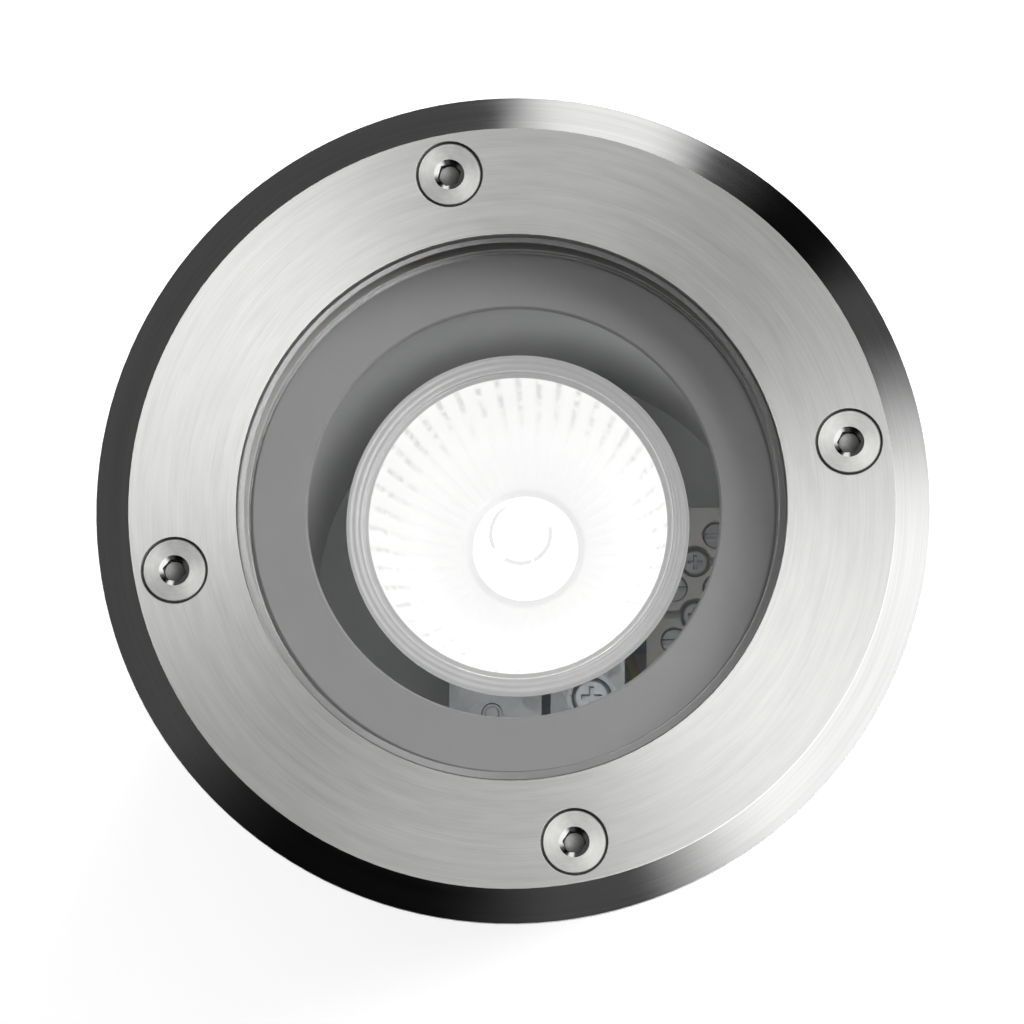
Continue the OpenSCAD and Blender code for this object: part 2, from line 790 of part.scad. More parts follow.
// Pressed strap: raised top, two legs and two feet on the can's floor
module holder_bracket() {
    foot_end = can_r - strap_end_gap;
    wire_hole_edge = 2.25;
    color("lightgray") difference() {
        union() {
            translate([-strap_w / 2, -strap_leg_y, z_strap_under])
                cube([strap_w, 2 * strap_leg_y, strap_t]);
            for (s = [0, 180]) rotate(s) translate([0, strap_leg_y - strap_t, z_floor]) {
                translate([-strap_w / 2, 0, 0]) cube([strap_w, strap_t, z_strap - z_floor]);
                translate([-strap_foot_w / 2, 0, 0])
                    cube([strap_foot_w, foot_end - strap_leg_y + strap_t, strap_t]);
            }
        }
        translate([0, 0, z_strap_under]) {
            bore(pin_spacing + 2 * wire_hole_edge, strap_t);
            at_holder_screws() bore(holder_screw_d + 2 * screw_gap, strap_t);
            translate(earth_at) bore(earth_screw_d + 2 * press_gap, strap_t);
            translate([slot_at[0] - slot_size[0] / 2, slot_at[1] - slot_size[1] / 2, -past])
                cube([slot_size[0], slot_size[1], strap_t + 2 * past]);
        }
        translate([pip_at[0], pip_at[1], z_strap - pip_depth]) difference() {
            cylinder(d = pip_d, h = pip_depth + past);
            translate([0, 0, -past]) cylinder(d = pip_button_d, h = past + pip_depth - pip_button_drop);
        }
        at_strap_screws() translate([0, 0, z_floor]) bore(strap_screw_d + 2 * screw_gap, strap_t);
    }
}

module bracket_screws() {
    color("silver") at_strap_screws() translate([0, 0, z_floor + strap_t])
        pan_screw(strap_screw_d, strap_t + floor_screw_l(strap_boss_h));
}

// Terminal block on the can's floor, with a clamp and two screws in each pole
module terminal_block() {
    well_r = terminal_screw_d / 2 + terminal_head_w + screw_gap;
    groove_w = 1.2;
    z_seat = z_floor + block_h - block_screw_drop;
    color("lightgray") difference() {
        translate([block_x - block_w / 2, -block_l / 2, z_floor]) cube([block_w, block_l, block_h]);
        at_poles() {
            pole_bar(clamp_d + 2 * press_gap, clamp_l);
            pole_bar(clamp_bore_d, block_w + 2 * past);
            at_terminal_screws() cylinder(r = well_r, h = block_h);
        }
        at_block_screws() {
            translate([0, 0, z_floor]) bore(block_screw_d + 2 * thread_gap, block_h);
            translate([0, 0, z_seat])
                cylinder(r = pan_d(block_screw_d) / 2 + screw_gap, h = block_screw_drop + past);
            translate([-block_w / 2 - past, -groove_w / 2, z_seat])
                cube([block_w + 2 * past, groove_w, block_screw_drop + past]);
        }
    }
}

// Round bar of diameter d and length l along X, centred on a pole's wire
module pole_bar(d, l) {
    translate([-l / 2, 0, z_wire]) rotate([0, 90, 0]) cylinder(d = d, h = l);
}

module at_terminal_screws() {
    for (s = [-1, 1]) translate([s * terminal_screw_x, 0, z_wire]) children();
}

module terminal_clamps() {
    color("goldenrod") at_poles() difference() {
        pole_bar(clamp_d, clamp_l);
        pole_bar(clamp_bore_d, clamp_l + 2 * past);
        at_terminal_screws() cylinder(d = terminal_screw_d + 2 * press_gap, h = clamp_d);
    }
}

module terminal_screws() {
    low = lead_d / 2 + thread_gap;
    head = z_floor + block_h - terminal_head_drop - terminal_head_h - z_wire;
    head_r = terminal_screw_d / 2 + terminal_head_w;
    color("silver") at_poles() at_terminal_screws() difference() {
        union() {
            translate([0, 0, low]) cylinder(d = terminal_screw_d, h = head - low + lap);
            translate([0, 0, head]) cylinder(r = head_r, h = terminal_head_h);
        }
        translate([-head_r - past, -terminal_slot_w / 2, head + terminal_head_h / 2])
            cube([2 * (head_r + past), terminal_slot_w, terminal_head_h]);
    }
}

module block_screws() {
    seat = block_h - block_screw_drop;
    color("silver") at_block_screws() translate([0, 0, z_floor + seat])
        pan_screw(block_screw_d, seat + floor_screw_l(block_boss_h));
}

// Earth connection on the strap: eye, neck and crimped barrel
module earth_ring_terminal() {
    neck_w = 3;
    neck_x = ring_terminal_d / 2 - 1;
    color("silver") translate([earth_at[0], earth_at[1], z_strap]) difference() {
        union() {
            cylinder(d = ring_terminal_d, h = ring_terminal_t);
            translate([neck_x, -neck_w / 2, 0])
                cube([crimp_x - earth_at[0] + lap - neck_x, neck_w, ring_terminal_t]);
            translate([crimp_x - earth_at[0], 0, crimp_lift]) rotate([0, 90, 0])
                cylinder(r = crimp_r, h = crimp_l);
        }
        bore(earth_screw_d + 2 * press_gap, ring_terminal_t);
        translate([crimp_x - earth_at[0] + 1, 0, crimp_lift]) rotate([0, 90, 0])
            cylinder(r = lead_d / 2 + press_gap, h = crimp_l);
    }
}

// Toothed lock washer
module earth_washer() {
    tooth_gap_w = 1;
    tooth_l = 0.75;
    color("silver") translate([earth_at[0], earth_at[1], z_strap + ring_terminal_t]) difference() {
        tube(earth_washer_r, earth_screw_d / 2 + press_gap, earth_washer_t);
        for (a = [0 : 45 : 315]) rotate(a)
            translate([earth_washer_r - tooth_l, -tooth_gap_w / 2, -past])
                cube([tooth_l + past, tooth_gap_w, earth_washer_t + 2 * past]);
    }
}

module earth_screw() {
    tip = 1.5;
    seat = ring_terminal_t + earth_washer_t;
    color("silver") translate([earth_at[0], earth_at[1], z_strap + seat])
        pan_screw(earth_screw_d, seat + strap_t + tip);
}

// Leads: a round tube swept along a smooth curve through the route's points
function curve_point(p, i, t) =
    let (
        n = len(p) - 1,
        a = p[max(i - 1, 0)],
        b = p[i],
        c = p[min(i + 1, n)],
        d = p[min(i + 2, n)]
    )
    b + 0.5 * t * ((c - a) + t * ((2 * a - 5 * b + 4 * c - d) + t * (3 * b - 3 * c + d - a)));
function curve(p, steps) = concat(
    [for (i = [0 : len(p) - 2], k = [0 : steps - 1]) curve_point(p, i, k / steps)],
    [p[len(p) - 1]]
);
function unit(v) = v / norm(v);
function tangent(q, i) = unit(q[min(i + 1, len(q) - 1)] - q[max(i - 1, 0)]);
function turned(side, t) = unit(side - (side * t) * t);
function sides_along(q, i, side) =
    i == len(q) ? [] :
    let (s = turned(side, tangent(q, i))) concat([s], sides_along(q, i + 1, s));

module swept_tube(route, r, start_side) {
    facets = 8;
    q = curve(route, 3);
    n = len(q);
    across = sides_along(q, 0, start_side);
    points = [
        for (i = [0 : n - 1], k = [0 : facets - 1])
            let (s = across[i], u = cross(tangent(q, i), s), a = k * 360 / facets)
            q[i] + r * (cos(a) * s + sin(a) * u)
    ];
    rings = [
        for (i = [0 : n - 2], k = [0 : facets - 1])
            let (a = i * facets + k, b = i * facets + (k + 1) % facets)
            [a, a + facets, b + facets, b]
    ];
    triangles = [for (f = rings, h = [0, 1]) h == 0 ? [f[0], f[1], f[2]] : [f[0], f[2], f[3]]];
    first = [for (k = [0 : facets - 1]) k];
    last = [for (k = [facets - 1 : -1 : 0]) (n - 1) * facets + k];
    polyhedron(points, concat(triangles, [first, last]));
}

module live_lead() {
    color("saddlebrown") swept_tube(live_route, lead_d / 2, [1, 0, 0]);
}

module neutral_lead() {
    color("steelblue") swept_tube(neutral_route, lead_d / 2, [1, 0, 0]);
}

module earth_lead() {
    color("yellowgreen") swept_tube(earth_route, lead_d / 2, [0, 0, 1]);
}

// Lamp: a pressed reflector of parabolic outline on a straight neck
function bowl(r_neck, r_top, z_low, z_high) = [
    for (k = [0 : 12])
        let (u = pow(k / 12, 2)) [r_neck + (r_top - r_neck) * sqrt(u), z_low + (z_high - z_low) * u]
];
function reversed(list) = [for (i = [len(list) - 1 : -1 : 0]) list[i]];

module lamp_reflector() {
    seat_r = cover_r + press_gap;
    inner_neck_r = neck_r - neck_wall;
    bowl_floor_t = 1.6;
    shoulder = 0.8;
    edge = 0.5;
    color("gainsboro") rotate_extrude() polygon(concat(
        [[inner_neck_r, z_neck], [neck_r, z_neck]],
        bowl(neck_r, lamp_r - shoulder, z_bowl, z_bowl_top),
        [
            [lamp_r, z_bowl_top + shoulder],
            [lamp_r, z_lamp - edge],
            [lamp_r - edge, z_lamp],
            [seat_r, z_lamp],
            [seat_r, z_cover]
        ],
        reversed(bowl(inner_neck_r, mouth_r, z_bowl + bowl_floor_t, z_cover))
    ));
}

module lamp_cover_glass() {
    color("white", 0.5) translate([0, 0, z_cover]) cylinder(r = cover_r, h = cover_t);
}

// Quartz capsule: domed tube on a flat pinch, which two wires run through
module lamp_capsule() {
    inner_r = capsule_r - capsule_wall;
    root = 1.2;
    z_low = z_pinch + pinch_size[2] + 0.4;
    z_high = z_cover - capsule_clear - capsule_dome_h;
    color("white", 0.6) locked() difference() {
        union() {
            translate([0, 0, z_low - root]) cylinder(r = capsule_r, h = z_high - z_low + root);
            translate([0, 0, z_high]) dome(capsule_r, capsule_dome_h);
            translate([-pinch_size[0] / 2, -pinch_size[1] / 2, z_pinch]) cube(pinch_size);
        }
        translate([0, 0, z_low]) cylinder(r = inner_r, h = z_high - z_low);
        translate([0, 0, z_high]) dome(inner_r, capsule_dome_h - capsule_wall);
        for (s = [-1, 1]) translate([s * wire_x, 0, z_pinch - past])
            cylinder(r = wire_r + press_gap, h = z_low - z_pinch + 2 * past);
    }
}

// Flattened round dome on a circle of radius r
module dome(r, h) {
    rotate_extrude() polygon(concat(
        [[0, 0]],
        [for (a = [0 : 15 : 90]) [r * cos(a), h * sin(a)]]
    ));
}

// Straight coil between two wires that stand in the pinch
module lamp_filament() {
    coil_r = 0.55;
    coil_over_pinch = 7;
    wire_below = 1.4;
    z_coil = z_pinch + pinch_size[2] + coil_over_pinch;
    z_wire_foot = z_pinch - wire_below;
    color("gold") locked() {
        for (s = [-1, 1]) translate([s * wire_x, 0, z_wire_foot])
            cylinder(r = wire_r, h = z_coil - z_wire_foot);
        translate([-wire_x - wire_r, 0, z_coil]) rotate([0, 90, 0])
            cylinder(r = coil_r, h = 2 * (wire_x + wire_r));
    }
}

// Ceramic foot that holds the reflector's neck, the capsule's pinch and the pins
module lamp_base() {
    foot_step = 1;
    edge = 0.6;
    foot_h = 5;
    step_h = 2;
    socket_floor = z_base_top - base_socket_h;
    pocket_depth = 7.6;
    pocket_gap = 0.1;
    pocket_w = pinch_size[0] + 2 * pocket_gap;
    pocket_l = pinch_size[1] + 2 * pocket_gap;
    pin_hole_h = 5;
    color("white") locked() difference() {
        rotate_extrude() polygon([
            [0, z_lamp_foot],
            [base_r - foot_step - edge, z_lamp_foot],
            [base_r - foot_step, z_lamp_foot + edge],
            [base_r - foot_step, z_lamp_foot + foot_h],
            [base_r, z_lamp_foot + foot_h + step_h],
            [base_r, z_base_top],
            [neck_r + press_gap, z_base_top],
            [neck_r + press_gap, socket_floor],
            [0, socket_floor]
        ]);
        translate([-pocket_w / 2, -pocket_l / 2, z_base_top - pocket_depth])
            cube([pocket_w, pocket_l, pocket_depth + past]);
        for (s = [-1, 1]) translate([s * pin_spacing / 2, 0, z_lamp_foot - past])
            cylinder(d = pin_neck_d + 2 * press_gap, h = pin_hole_h + past);
    }
}

module lamp_pins() {
    pin_root = 4.8;
    color("silver") locked() for (s = [-1, 1])
        translate([s * pin_spacing / 2, 0, z_lamp_foot - pin_l]) {
            cylinder(d = pin_head_d, h = pin_head_l);
            cylinder(d = pin_neck_d, h = pin_l + pin_root);
        }
}

ground_sleeve();
can();
thread_inserts();
glare_ring();
bezel();
bezel_screws();
glass_lens();
glass_gasket();
gland_body();
gland_washer();
gland_locknut();
gland_seal();
gland_cap();
lampholder();
lampholder_contacts();
lampholder_screws();
lampholder_nuts();
holder_bracket();
bracket_screws();
terminal_block();
terminal_clamps();
terminal_screws();
block_screws();
earth_ring_terminal();
earth_washer();
earth_screw();
live_lead();
neutral_lead();
earth_lead();
lamp_reflector();
lamp_cover_glass();
lamp_capsule();
lamp_filament();
lamp_base();
lamp_pins();
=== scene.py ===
import json
from math import cos, pi, radians, sin, tau

import bmesh
import bpy
from mathutils import Matrix, Vector

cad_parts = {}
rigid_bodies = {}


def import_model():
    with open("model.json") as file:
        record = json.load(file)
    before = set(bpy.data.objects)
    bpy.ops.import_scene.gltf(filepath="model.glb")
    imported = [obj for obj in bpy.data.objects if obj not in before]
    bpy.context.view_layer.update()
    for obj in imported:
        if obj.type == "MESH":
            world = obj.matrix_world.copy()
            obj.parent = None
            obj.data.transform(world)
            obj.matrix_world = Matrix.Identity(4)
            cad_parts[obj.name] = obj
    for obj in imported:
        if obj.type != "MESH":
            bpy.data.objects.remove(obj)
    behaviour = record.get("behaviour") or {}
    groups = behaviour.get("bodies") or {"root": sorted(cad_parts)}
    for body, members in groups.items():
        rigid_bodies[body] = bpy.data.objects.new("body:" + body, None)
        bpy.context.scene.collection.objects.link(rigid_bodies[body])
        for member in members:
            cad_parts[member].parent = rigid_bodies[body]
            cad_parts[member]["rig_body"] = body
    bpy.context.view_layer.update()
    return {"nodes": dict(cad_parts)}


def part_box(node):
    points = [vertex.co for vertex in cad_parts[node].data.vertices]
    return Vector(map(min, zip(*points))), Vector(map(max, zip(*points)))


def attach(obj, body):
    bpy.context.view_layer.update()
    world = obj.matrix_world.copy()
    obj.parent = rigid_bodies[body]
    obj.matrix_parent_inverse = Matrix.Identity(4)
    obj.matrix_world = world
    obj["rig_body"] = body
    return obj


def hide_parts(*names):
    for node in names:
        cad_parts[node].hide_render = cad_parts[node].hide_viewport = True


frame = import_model()
nodes = frame["nodes"]
scene = bpy.context.scene
scene.view_settings.view_transform = "Standard"
mm = 0.001   # the sizes of every piece are in mm


def linked(name, data):
    thing = bpy.data.objects.new(name, data)
    scene.collection.objects.link(thing)
    return thing


# camera: straight down on the face, leaning a little to the front right
view = {
    "target": (0, 0, 0.130),
    "toCamera": (0.04774, -0.14607, 0.98812),
    "away": 1.171,
    "lens": 286.9,
    "shiftX": 0.0007,
    "shiftY": -0.006,
}
backward = Vector(view["toCamera"]).normalized()
sideways = Vector((0, 1, 0)).cross(backward).normalized()
upward = backward.cross(sideways)
cameraData = bpy.data.cameras.new("camera")
cameraData.lens = view["lens"]
cameraData.shift_x = view["shiftX"]
cameraData.shift_y = view["shiftY"]
cameraData.clip_start = 0.01
camera = linked("camera", cameraData)
turn = Matrix((sideways, upward, backward)).transposed().to_4x4()
camera.matrix_world = Matrix.Translation(Vector(view["target"]) + backward * view["away"]) @ turn
scene.camera = camera


# an sRGB hex value as a linear colour
def linear(code):
    parts = [int(code[i:i + 2], 16) / 255 for i in (1, 3, 5)]
    return tuple(c / 12.92 if c <= 0.04045 else ((c + 0.055) / 1.055) ** 2.4 for c in parts) + (1.0,)


# sets or links a node's inputs; a node among the values stands for its first output
def feed(tree, node, inputs):
    for name, value in inputs.items():
        if isinstance(value, bpy.types.Node):
            value = value.outputs[0]
        if isinstance(value, bpy.types.NodeSocket):
            tree.links.new(value, node.inputs[name])
        else:
            node.inputs[name].default_value = value


# a kind without a prefix is a shader node
def addNode(tree, kind, inputs={}, **settings):
    node = tree.nodes.new(kind if "Node" in kind else "ShaderNode" + kind)
    for name, value in settings.items():
        setattr(node, name, value)
    feed(tree, node, inputs)
    return node


# a flattened place, and its distance from the axis
def flattened(tree, place):
    flat = addNode(tree, "VectorMath", {0: place, 1: (1, 1, 0)}, operation="MULTIPLY")
    return flat, addNode(tree, "VectorMath", {0: flat}, operation="LENGTH").outputs["Value"]


def newMaterial(name, sockets):
    material = bpy.data.materials.new(name)
    material.use_nodes = True
    shader = material.node_tree.nodes["Principled BSDF"]
    feed(material.node_tree, shader, sockets)
    return material, material.node_tree, shader


# blends two colours by one pattern, presses another into the surface, and maps a third to its roughness
def dress(tree, shader, share, colours, relief, depthMm, gloss={}):
    colour = addNode(tree, "Mix", {0: share, 6: linear(colours[0]), 7: linear(colours[1])}, data_type="RGBA")
    bump = addNode(tree, "Bump", {"Height": relief, "Distance": depthMm * mm, "Strength": 1.0})
    feed(tree, shader, {"Base Color": colour.outputs[2], "Normal": bump})
    if gloss:
        feed(tree, shader, {"Roughness": addNode(tree, "MapRange", gloss)})
    return bump


# a moulded, cast, glazed or painted surface: clouded colour, uneven gloss, fine grain
def grainy(name, colours, patchMm, grainMm, grainDepthMm, roughness, sockets={}):
    material, tree, shader = newMaterial(name, sockets)
    place = addNode(tree, "TexCoord").outputs["Object"]
    cloud = addNode(tree, "TexNoise",
                    {"Vector": place, "Scale": 1000 / patchMm, "Detail": 4.0, "Roughness": 0.6})
    grain = addNode(tree, "TexNoise",
                    {"Vector": place, "Scale": 1000 / grainMm, "Detail": 3.0, "Roughness": 0.65})
    dress(tree, shader, cloud, colours, grain, grainDepthMm, {
        "Value": grain, "From Min": 0.3, "From Max": 0.7, "To Min": roughness[0], "To Max": roughness[1]})
    return material


# metal turned or brushed in circles: long fine lines that follow the circle, a few scratches across them;
# the circles run round the light's axis, or round the centre that the mesh keeps as an attribute
def turned(name, colours, lineMm, lineLength, lineDepthMm, roughness, anisotropy, scratchDepthMm=0.0,
           centreAttribute=None):
    material, tree, shader = newMaterial(name, {"Metallic": 1.0, "Anisotropic": anisotropy})
    place = addNode(tree, "TexCoord").outputs["Object"]
    whole = place
    if centreAttribute:
        centre = addNode(tree, "Attribute", attribute_name=centreAttribute).outputs["Vector"]
        place = addNode(tree, "VectorMath", {0: place, 1: centre}, operation="SUBTRACT")
    flat, radius = flattened(tree, place)
    outward = addNode(tree, "VectorMath", {0: flat}, operation="NORMALIZE")
    around = addNode(tree, "VectorMath", {0: outward, "Scale": 1 / lineLength}, operation="SCALE")
    across = addNode(tree, "Math", {0: radius, 1: 1000 / lineMm}, operation="MULTIPLY")
    lift = addNode(tree, "CombineXYZ", {"Z": across})
    ringPlace = addNode(tree, "VectorMath", {0: around, 1: lift}, operation="ADD")
    lines = addNode(tree, "TexNoise", {"Vector": ringPlace, "Scale": 1.0, "Detail": 2.5, "Roughness": 0.7})
    widePlace = addNode(tree, "VectorMath", {0: ringPlace, 1: (2.3, 2.3, 0.18)}, operation="MULTIPLY")
    bands = addNode(tree, "TexNoise", {"Vector": widePlace, "Scale": 1.0, "Detail": 3.0})
    both = addNode(tree, "Math", {0: lines, 1: bands}, operation="ADD")
    share = addNode(tree, "MapRange", {"Value": both, "From Min": 0.6, "From Max": 1.4})
    bump = dress(tree, shader, share, colours, lines, lineDepthMm,
                 {"Value": share, "To Min": roughness[0], "To Max": roughness[1]})
    feed(tree, shader, {"Tangent": outward})
    if scratchDepthMm:
        # handling scratches: thin crooked lines, only where a wide patch lets them show
        warped = addNode(tree, "TexNoise", {"Vector": whole, "Scale": 22.0, "Detail": 1.0})
        bent = addNode(tree, "VectorMath", {0: warped.outputs["Color"], "Scale": 0.02}, operation="SCALE")
        scratchPlace = addNode(tree, "VectorMath", {0: whole, 1: bent}, operation="ADD")
        cells = addNode(tree, "TexVoronoi", {"Vector": scratchPlace, "Scale": 34.0},
                        feature="DISTANCE_TO_EDGE")
        thin = addNode(tree, "MapRange", {"Value": cells, "From Max": 0.004, "To Min": 1.0, "To Max": 0.0})
        patch = addNode(tree, "TexNoise", {"Vector": whole, "Scale": 60.0, "Detail": 2.0})
        shown = addNode(tree, "MapRange", {"Value": patch, "From Min": 0.58, "From Max": 0.66})
        scratch = addNode(tree, "Math", {0: thin, 1: shown}, operation="MULTIPLY")
        cut = addNode(tree, "Bump", {"Height": scratch, "Distance": scratchDepthMm * mm, "Strength": 1.0,
                                     "Normal": bump}, invert=True)
        feed(tree, shader, {"Normal": cut})
    return material


# hot-dip zinc: flat crystals that each catch the light their own way
def spangled(name, colours, spangleMm, roughness):
    material, tree, shader = newMaterial(name, {"Metallic": 1.0})
    place = addNode(tree, "TexCoord").outputs["Object"]
    warp = addNode(tree, "TexNoise", {"Vector": place, "Scale": 1500 / spangleMm, "Detail": 2.0})
    bent = addNode(tree, "VectorMath", {0: warp.outputs["Color"], "Scale": spangleMm * 0.4 * mm},
                   operation="SCALE")
    bent = addNode(tree, "VectorMath", {0: place, 1: bent}, operation="ADD")
    crystals = addNode(tree, "TexVoronoi", {"Vector": bent, "Scale": 1000 / spangleMm})
    shade = addNode(tree, "SeparateColor", {0: crystals.outputs["Color"]})
    grain = addNode(tree, "TexNoise", {"Vector": place, "Scale": 2500.0, "Detail": 2.0})
    dress(tree, shader, shade, colours, grain, 0.004,
          {"Value": shade, "To Min": roughness[0], "To Max": roughness[1]})
    return material


# clear glass that lets the lamps through
def clear(name, sockets, veinMm=9.0, veinDepthMm=0.002):
    material, tree, shader = newMaterial(name, {"Transmission Weight": 1.0, **sockets})
    place = addNode(tree, "TexCoord").outputs["Object"]
    veins = addNode(tree, "TexNoise", {"Vector": place, "Scale": 1000 / veinMm, "Detail": 1.0})
    bump = addNode(tree, "Bump", {"Height": veins, "Distance": veinDepthMm * mm, "Strength": 1.0})
    feed(tree, shader, {"Normal": bump})
    rays = addNode(tree, "LightPath")
    through = addNode(tree, "BsdfTransparent")
    mixed = addNode(tree, "MixShader", {0: rays.outputs["Is Shadow Ray"], 1: shader, 2: through})
    feed(tree, tree.nodes["Material Output"], {"Surface": mixed})
    return material


def newPiece(name, mesh, node, materials):
    mesh.name = name
    mesh.materials.clear()
    for material in materials:
        mesh.materials.append(material)
    piece = linked(name, mesh)
    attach(piece, nodes[node]["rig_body"])
    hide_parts(node)
    return piece


def smoothed(mesh, sharpAngle=35):
    mesh.shade_smooth()
    mesh.set_sharp_from_angle(angle=radians(sharpAngle))
    return mesh


# a copy of a CAD solid, its points and flats joined, its edges broken by edgeMm
def refined(name, node, materials, edgeMm, edgeAngle=35, sharpAngle=35):
    bm = bmesh.new()
    bm.from_mesh(nodes[node].data)
    weldWithin, flatWithin = 0.002 * mm, radians(0.15)
    bmesh.ops.remove_doubles(bm, verts=bm.verts, dist=weldWithin)
    bmesh.ops.dissolve_limit(bm, angle_limit=flatWithin, verts=bm.verts, edges=bm.edges)
    if edgeMm:
        edges = [e for e in bm.edges if len(e.link_faces) == 2 and e.calc_face_angle(0) > radians(edgeAngle)]
        bmesh.ops.bevel(bm, geom=edges, offset=edgeMm * mm, segments=2, profile=0.5,
                        affect="EDGES", clamp_overlap=True)
    mesh = bpy.data.meshes.new(name)
    bm.to_mesh(mesh)
    bm.free()
    piece = newPiece(name, mesh, node, materials)
    smoothed(mesh, sharpAngle)
    piece.modifiers.new("evenNormals", "WEIGHTED_NORMAL").keep_sharp = True
    return piece


# spins an outline of (radius, height) in mm; a radius may be a function of the angle
def spun(outline, steps, closed=False):
    bm = bmesh.new()
    rings = []
    for radius, height in outline:
        if radius == 0:
            rings.append([bm.verts.new((0, 0, height * mm))] * steps)
            continue
        ring = []
        for k in range(steps):
            angle = k * tau / steps
            r = radius(angle) if callable(radius) else radius
            ring.append(bm.verts.new((r * cos(angle) * mm, r * sin(angle) * mm, height * mm)))
        rings.append(ring)
    pairs = list(zip(rings, rings[1:])) + ([(rings[-1], rings[0])] if closed else [])
    for low, high in pairs:
        for k in range(steps):
            corners = [low[k], low[(k + 1) % steps], high[(k + 1) % steps], high[k]]
            face = [v for i, v in enumerate(corners) if v not in corners[:i]]
            if len(face) > 2:
                bm.faces.new(face)
    bmesh.ops.recalc_face_normals(bm, faces=bm.faces)
    return bm


def meshOf(bm, name, sharpAngle=35):
    mesh = bpy.data.meshes.new(name)
    bm.to_mesh(mesh)
    bm.free()
    return smoothed(mesh, sharpAngle)


# points in mm joined into one line, the start mesh of a tree
def lineMesh(name, points, closed=False, weights=None):
    mesh = bpy.data.meshes.new(name)
    count = len(points)
    edges = [(k, (k + 1) % count) for k in range(count if closed else count - 1)]
    mesh.from_pydata([Vector(p) * mm for p in points], edges, [])
    if weights:
        mesh.attributes.new("weight", "FLOAT", "POINT").data.foreach_set("value", weights)
    return mesh


# a node tree with its named inputs; the caller adds the rest
def newTree(name, sockets):
    tree = bpy.data.node_groups.new(name, "GeometryNodeTree")
    for label, kind in sockets:
        tree.interface.new_socket(label, in_out="INPUT", socket_type="NodeSocket" + kind)
    tree.interface.new_socket("Geometry", in_out="OUTPUT", socket_type="NodeSocketGeometry")
    return tree, addNode(tree, "NodeGroupInput").outputs


# the spot at an angle, a reach and a height
def spotRound(tree, angle, reach, height):
    east, north = (addNode(tree, "Math", {0: angle}, operation=kind) for kind in ("COSINE", "SINE"))
    flat = addNode(tree, "CombineXYZ", {"X": east, "Y": north})
    flat = addNode(tree, "VectorMath", {0: flat, "Scale": reach}, operation="SCALE")
    lift = addNode(tree, "CombineXYZ", {"Z": height})
    return addNode(tree, "VectorMath", {0: flat, 1: lift}, operation="ADD")


# every tree ends in real geometry with its material on it
def endTree(tree, geometry, material):
    solid = addNode(tree, "GeometryNodeRealizeInstances", {"Geometry": geometry})
    painted = addNode(tree, "GeometryNodeSetMaterial", {"Geometry": solid, "Material": material})
    addNode(tree, "NodeGroupOutput", {"Geometry": painted})


# runs a tree on a mesh and returns the result as a plain mesh
def grown(name, tree, values, start=None):
    holder = linked(name + "Holder", start or bpy.data.meshes.new(name + "Start"))
    modifier = holder.modifiers.new("nodes", "NODES")
    modifier.node_group = tree
    for item in tree.interface.items_tree:
        if item.in_out == "INPUT" and item.name in values:
            modifier[item.identifier] = values[item.name]
    depsgraph = bpy.context.evaluated_depsgraph_get()
    mesh = bpy.data.meshes.new_from_object(holder.evaluated_get(depsgraph), depsgraph=depsgraph)
    holder.modifiers.remove(modifier)
    bpy.data.objects.remove(holder)
    mesh.name = name
    return mesh


# tree 1 sets a part out on a circle, each turned by a seeded random angle, and keeps each centre
ringTree, given = newTree("partOnCircle", [
    ("Geometry", "Geometry"), ("Part", "Object"), ("Count", "Int"), ("Radius", "Float"), ("Height", "Float"),
    ("First Angle", "Float"), ("Own Turn", "Float"), ("Seed", "Int"), ("Material", "Material")])
points = addNode(ringTree, "GeometryNodePoints", {"Count": given["Count"]})
number = addNode(ringTree, "GeometryNodeInputIndex")
share = addNode(ringTree, "Math", {0: number, 1: given["Count"]}, operation="DIVIDE")
angle = addNode(ringTree, "Math", {0: share, 1: tau, 2: given["First Angle"]}, operation="MULTIPLY_ADD")
spot = spotRound(ringTree, angle, given["Radius"], given["Height"])
placed = addNode(ringTree, "GeometryNodeSetPosition", {"Geometry": points, "Position": spot})
kept = addNode(ringTree, "GeometryNodeStoreNamedAttribute",
               {"Geometry": placed, "Name": "ownCentre",
                "Value": addNode(ringTree, "GeometryNodeInputPosition")},
               data_type="FLOAT_VECTOR", domain="POINT")
ownTurn = addNode(ringTree, "FunctionNodeRandomValue", {"Seed": given["Seed"]})
turnShare = addNode(ringTree, "Math", {0: ownTurn.outputs[1], 1: given["Own Turn"], 2: angle},
                    operation="MULTIPLY_ADD")
facing = addNode(ringTree, "CombineXYZ", {"Z": turnShare})
shape = addNode(ringTree, "GeometryNodeObjectInfo", {"Object": given["Part"]}, transform_space="ORIGINAL")
copies = addNode(ringTree, "GeometryNodeInstanceOnPoints",
                 {"Points": kept, "Instance": shape.outputs["Geometry"], "Rotation": facing})
endTree(ringTree, copies, given["Material"])


def onCircle(name, partMesh, material, count, radiusMm, heightMm, firstAngle, ownTurn, seed):
    part = linked(name + "Part", partMesh)
    mesh = grown(name, ringTree, {
        "Part": part, "Count": count, "Radius": radiusMm * mm, "Height": heightMm * mm,
        "First Angle": radians(firstAngle), "Own Turn": radians(ownTurn), "Seed": seed, "Material": material})
    bpy.data.objects.remove(part)
    return mesh


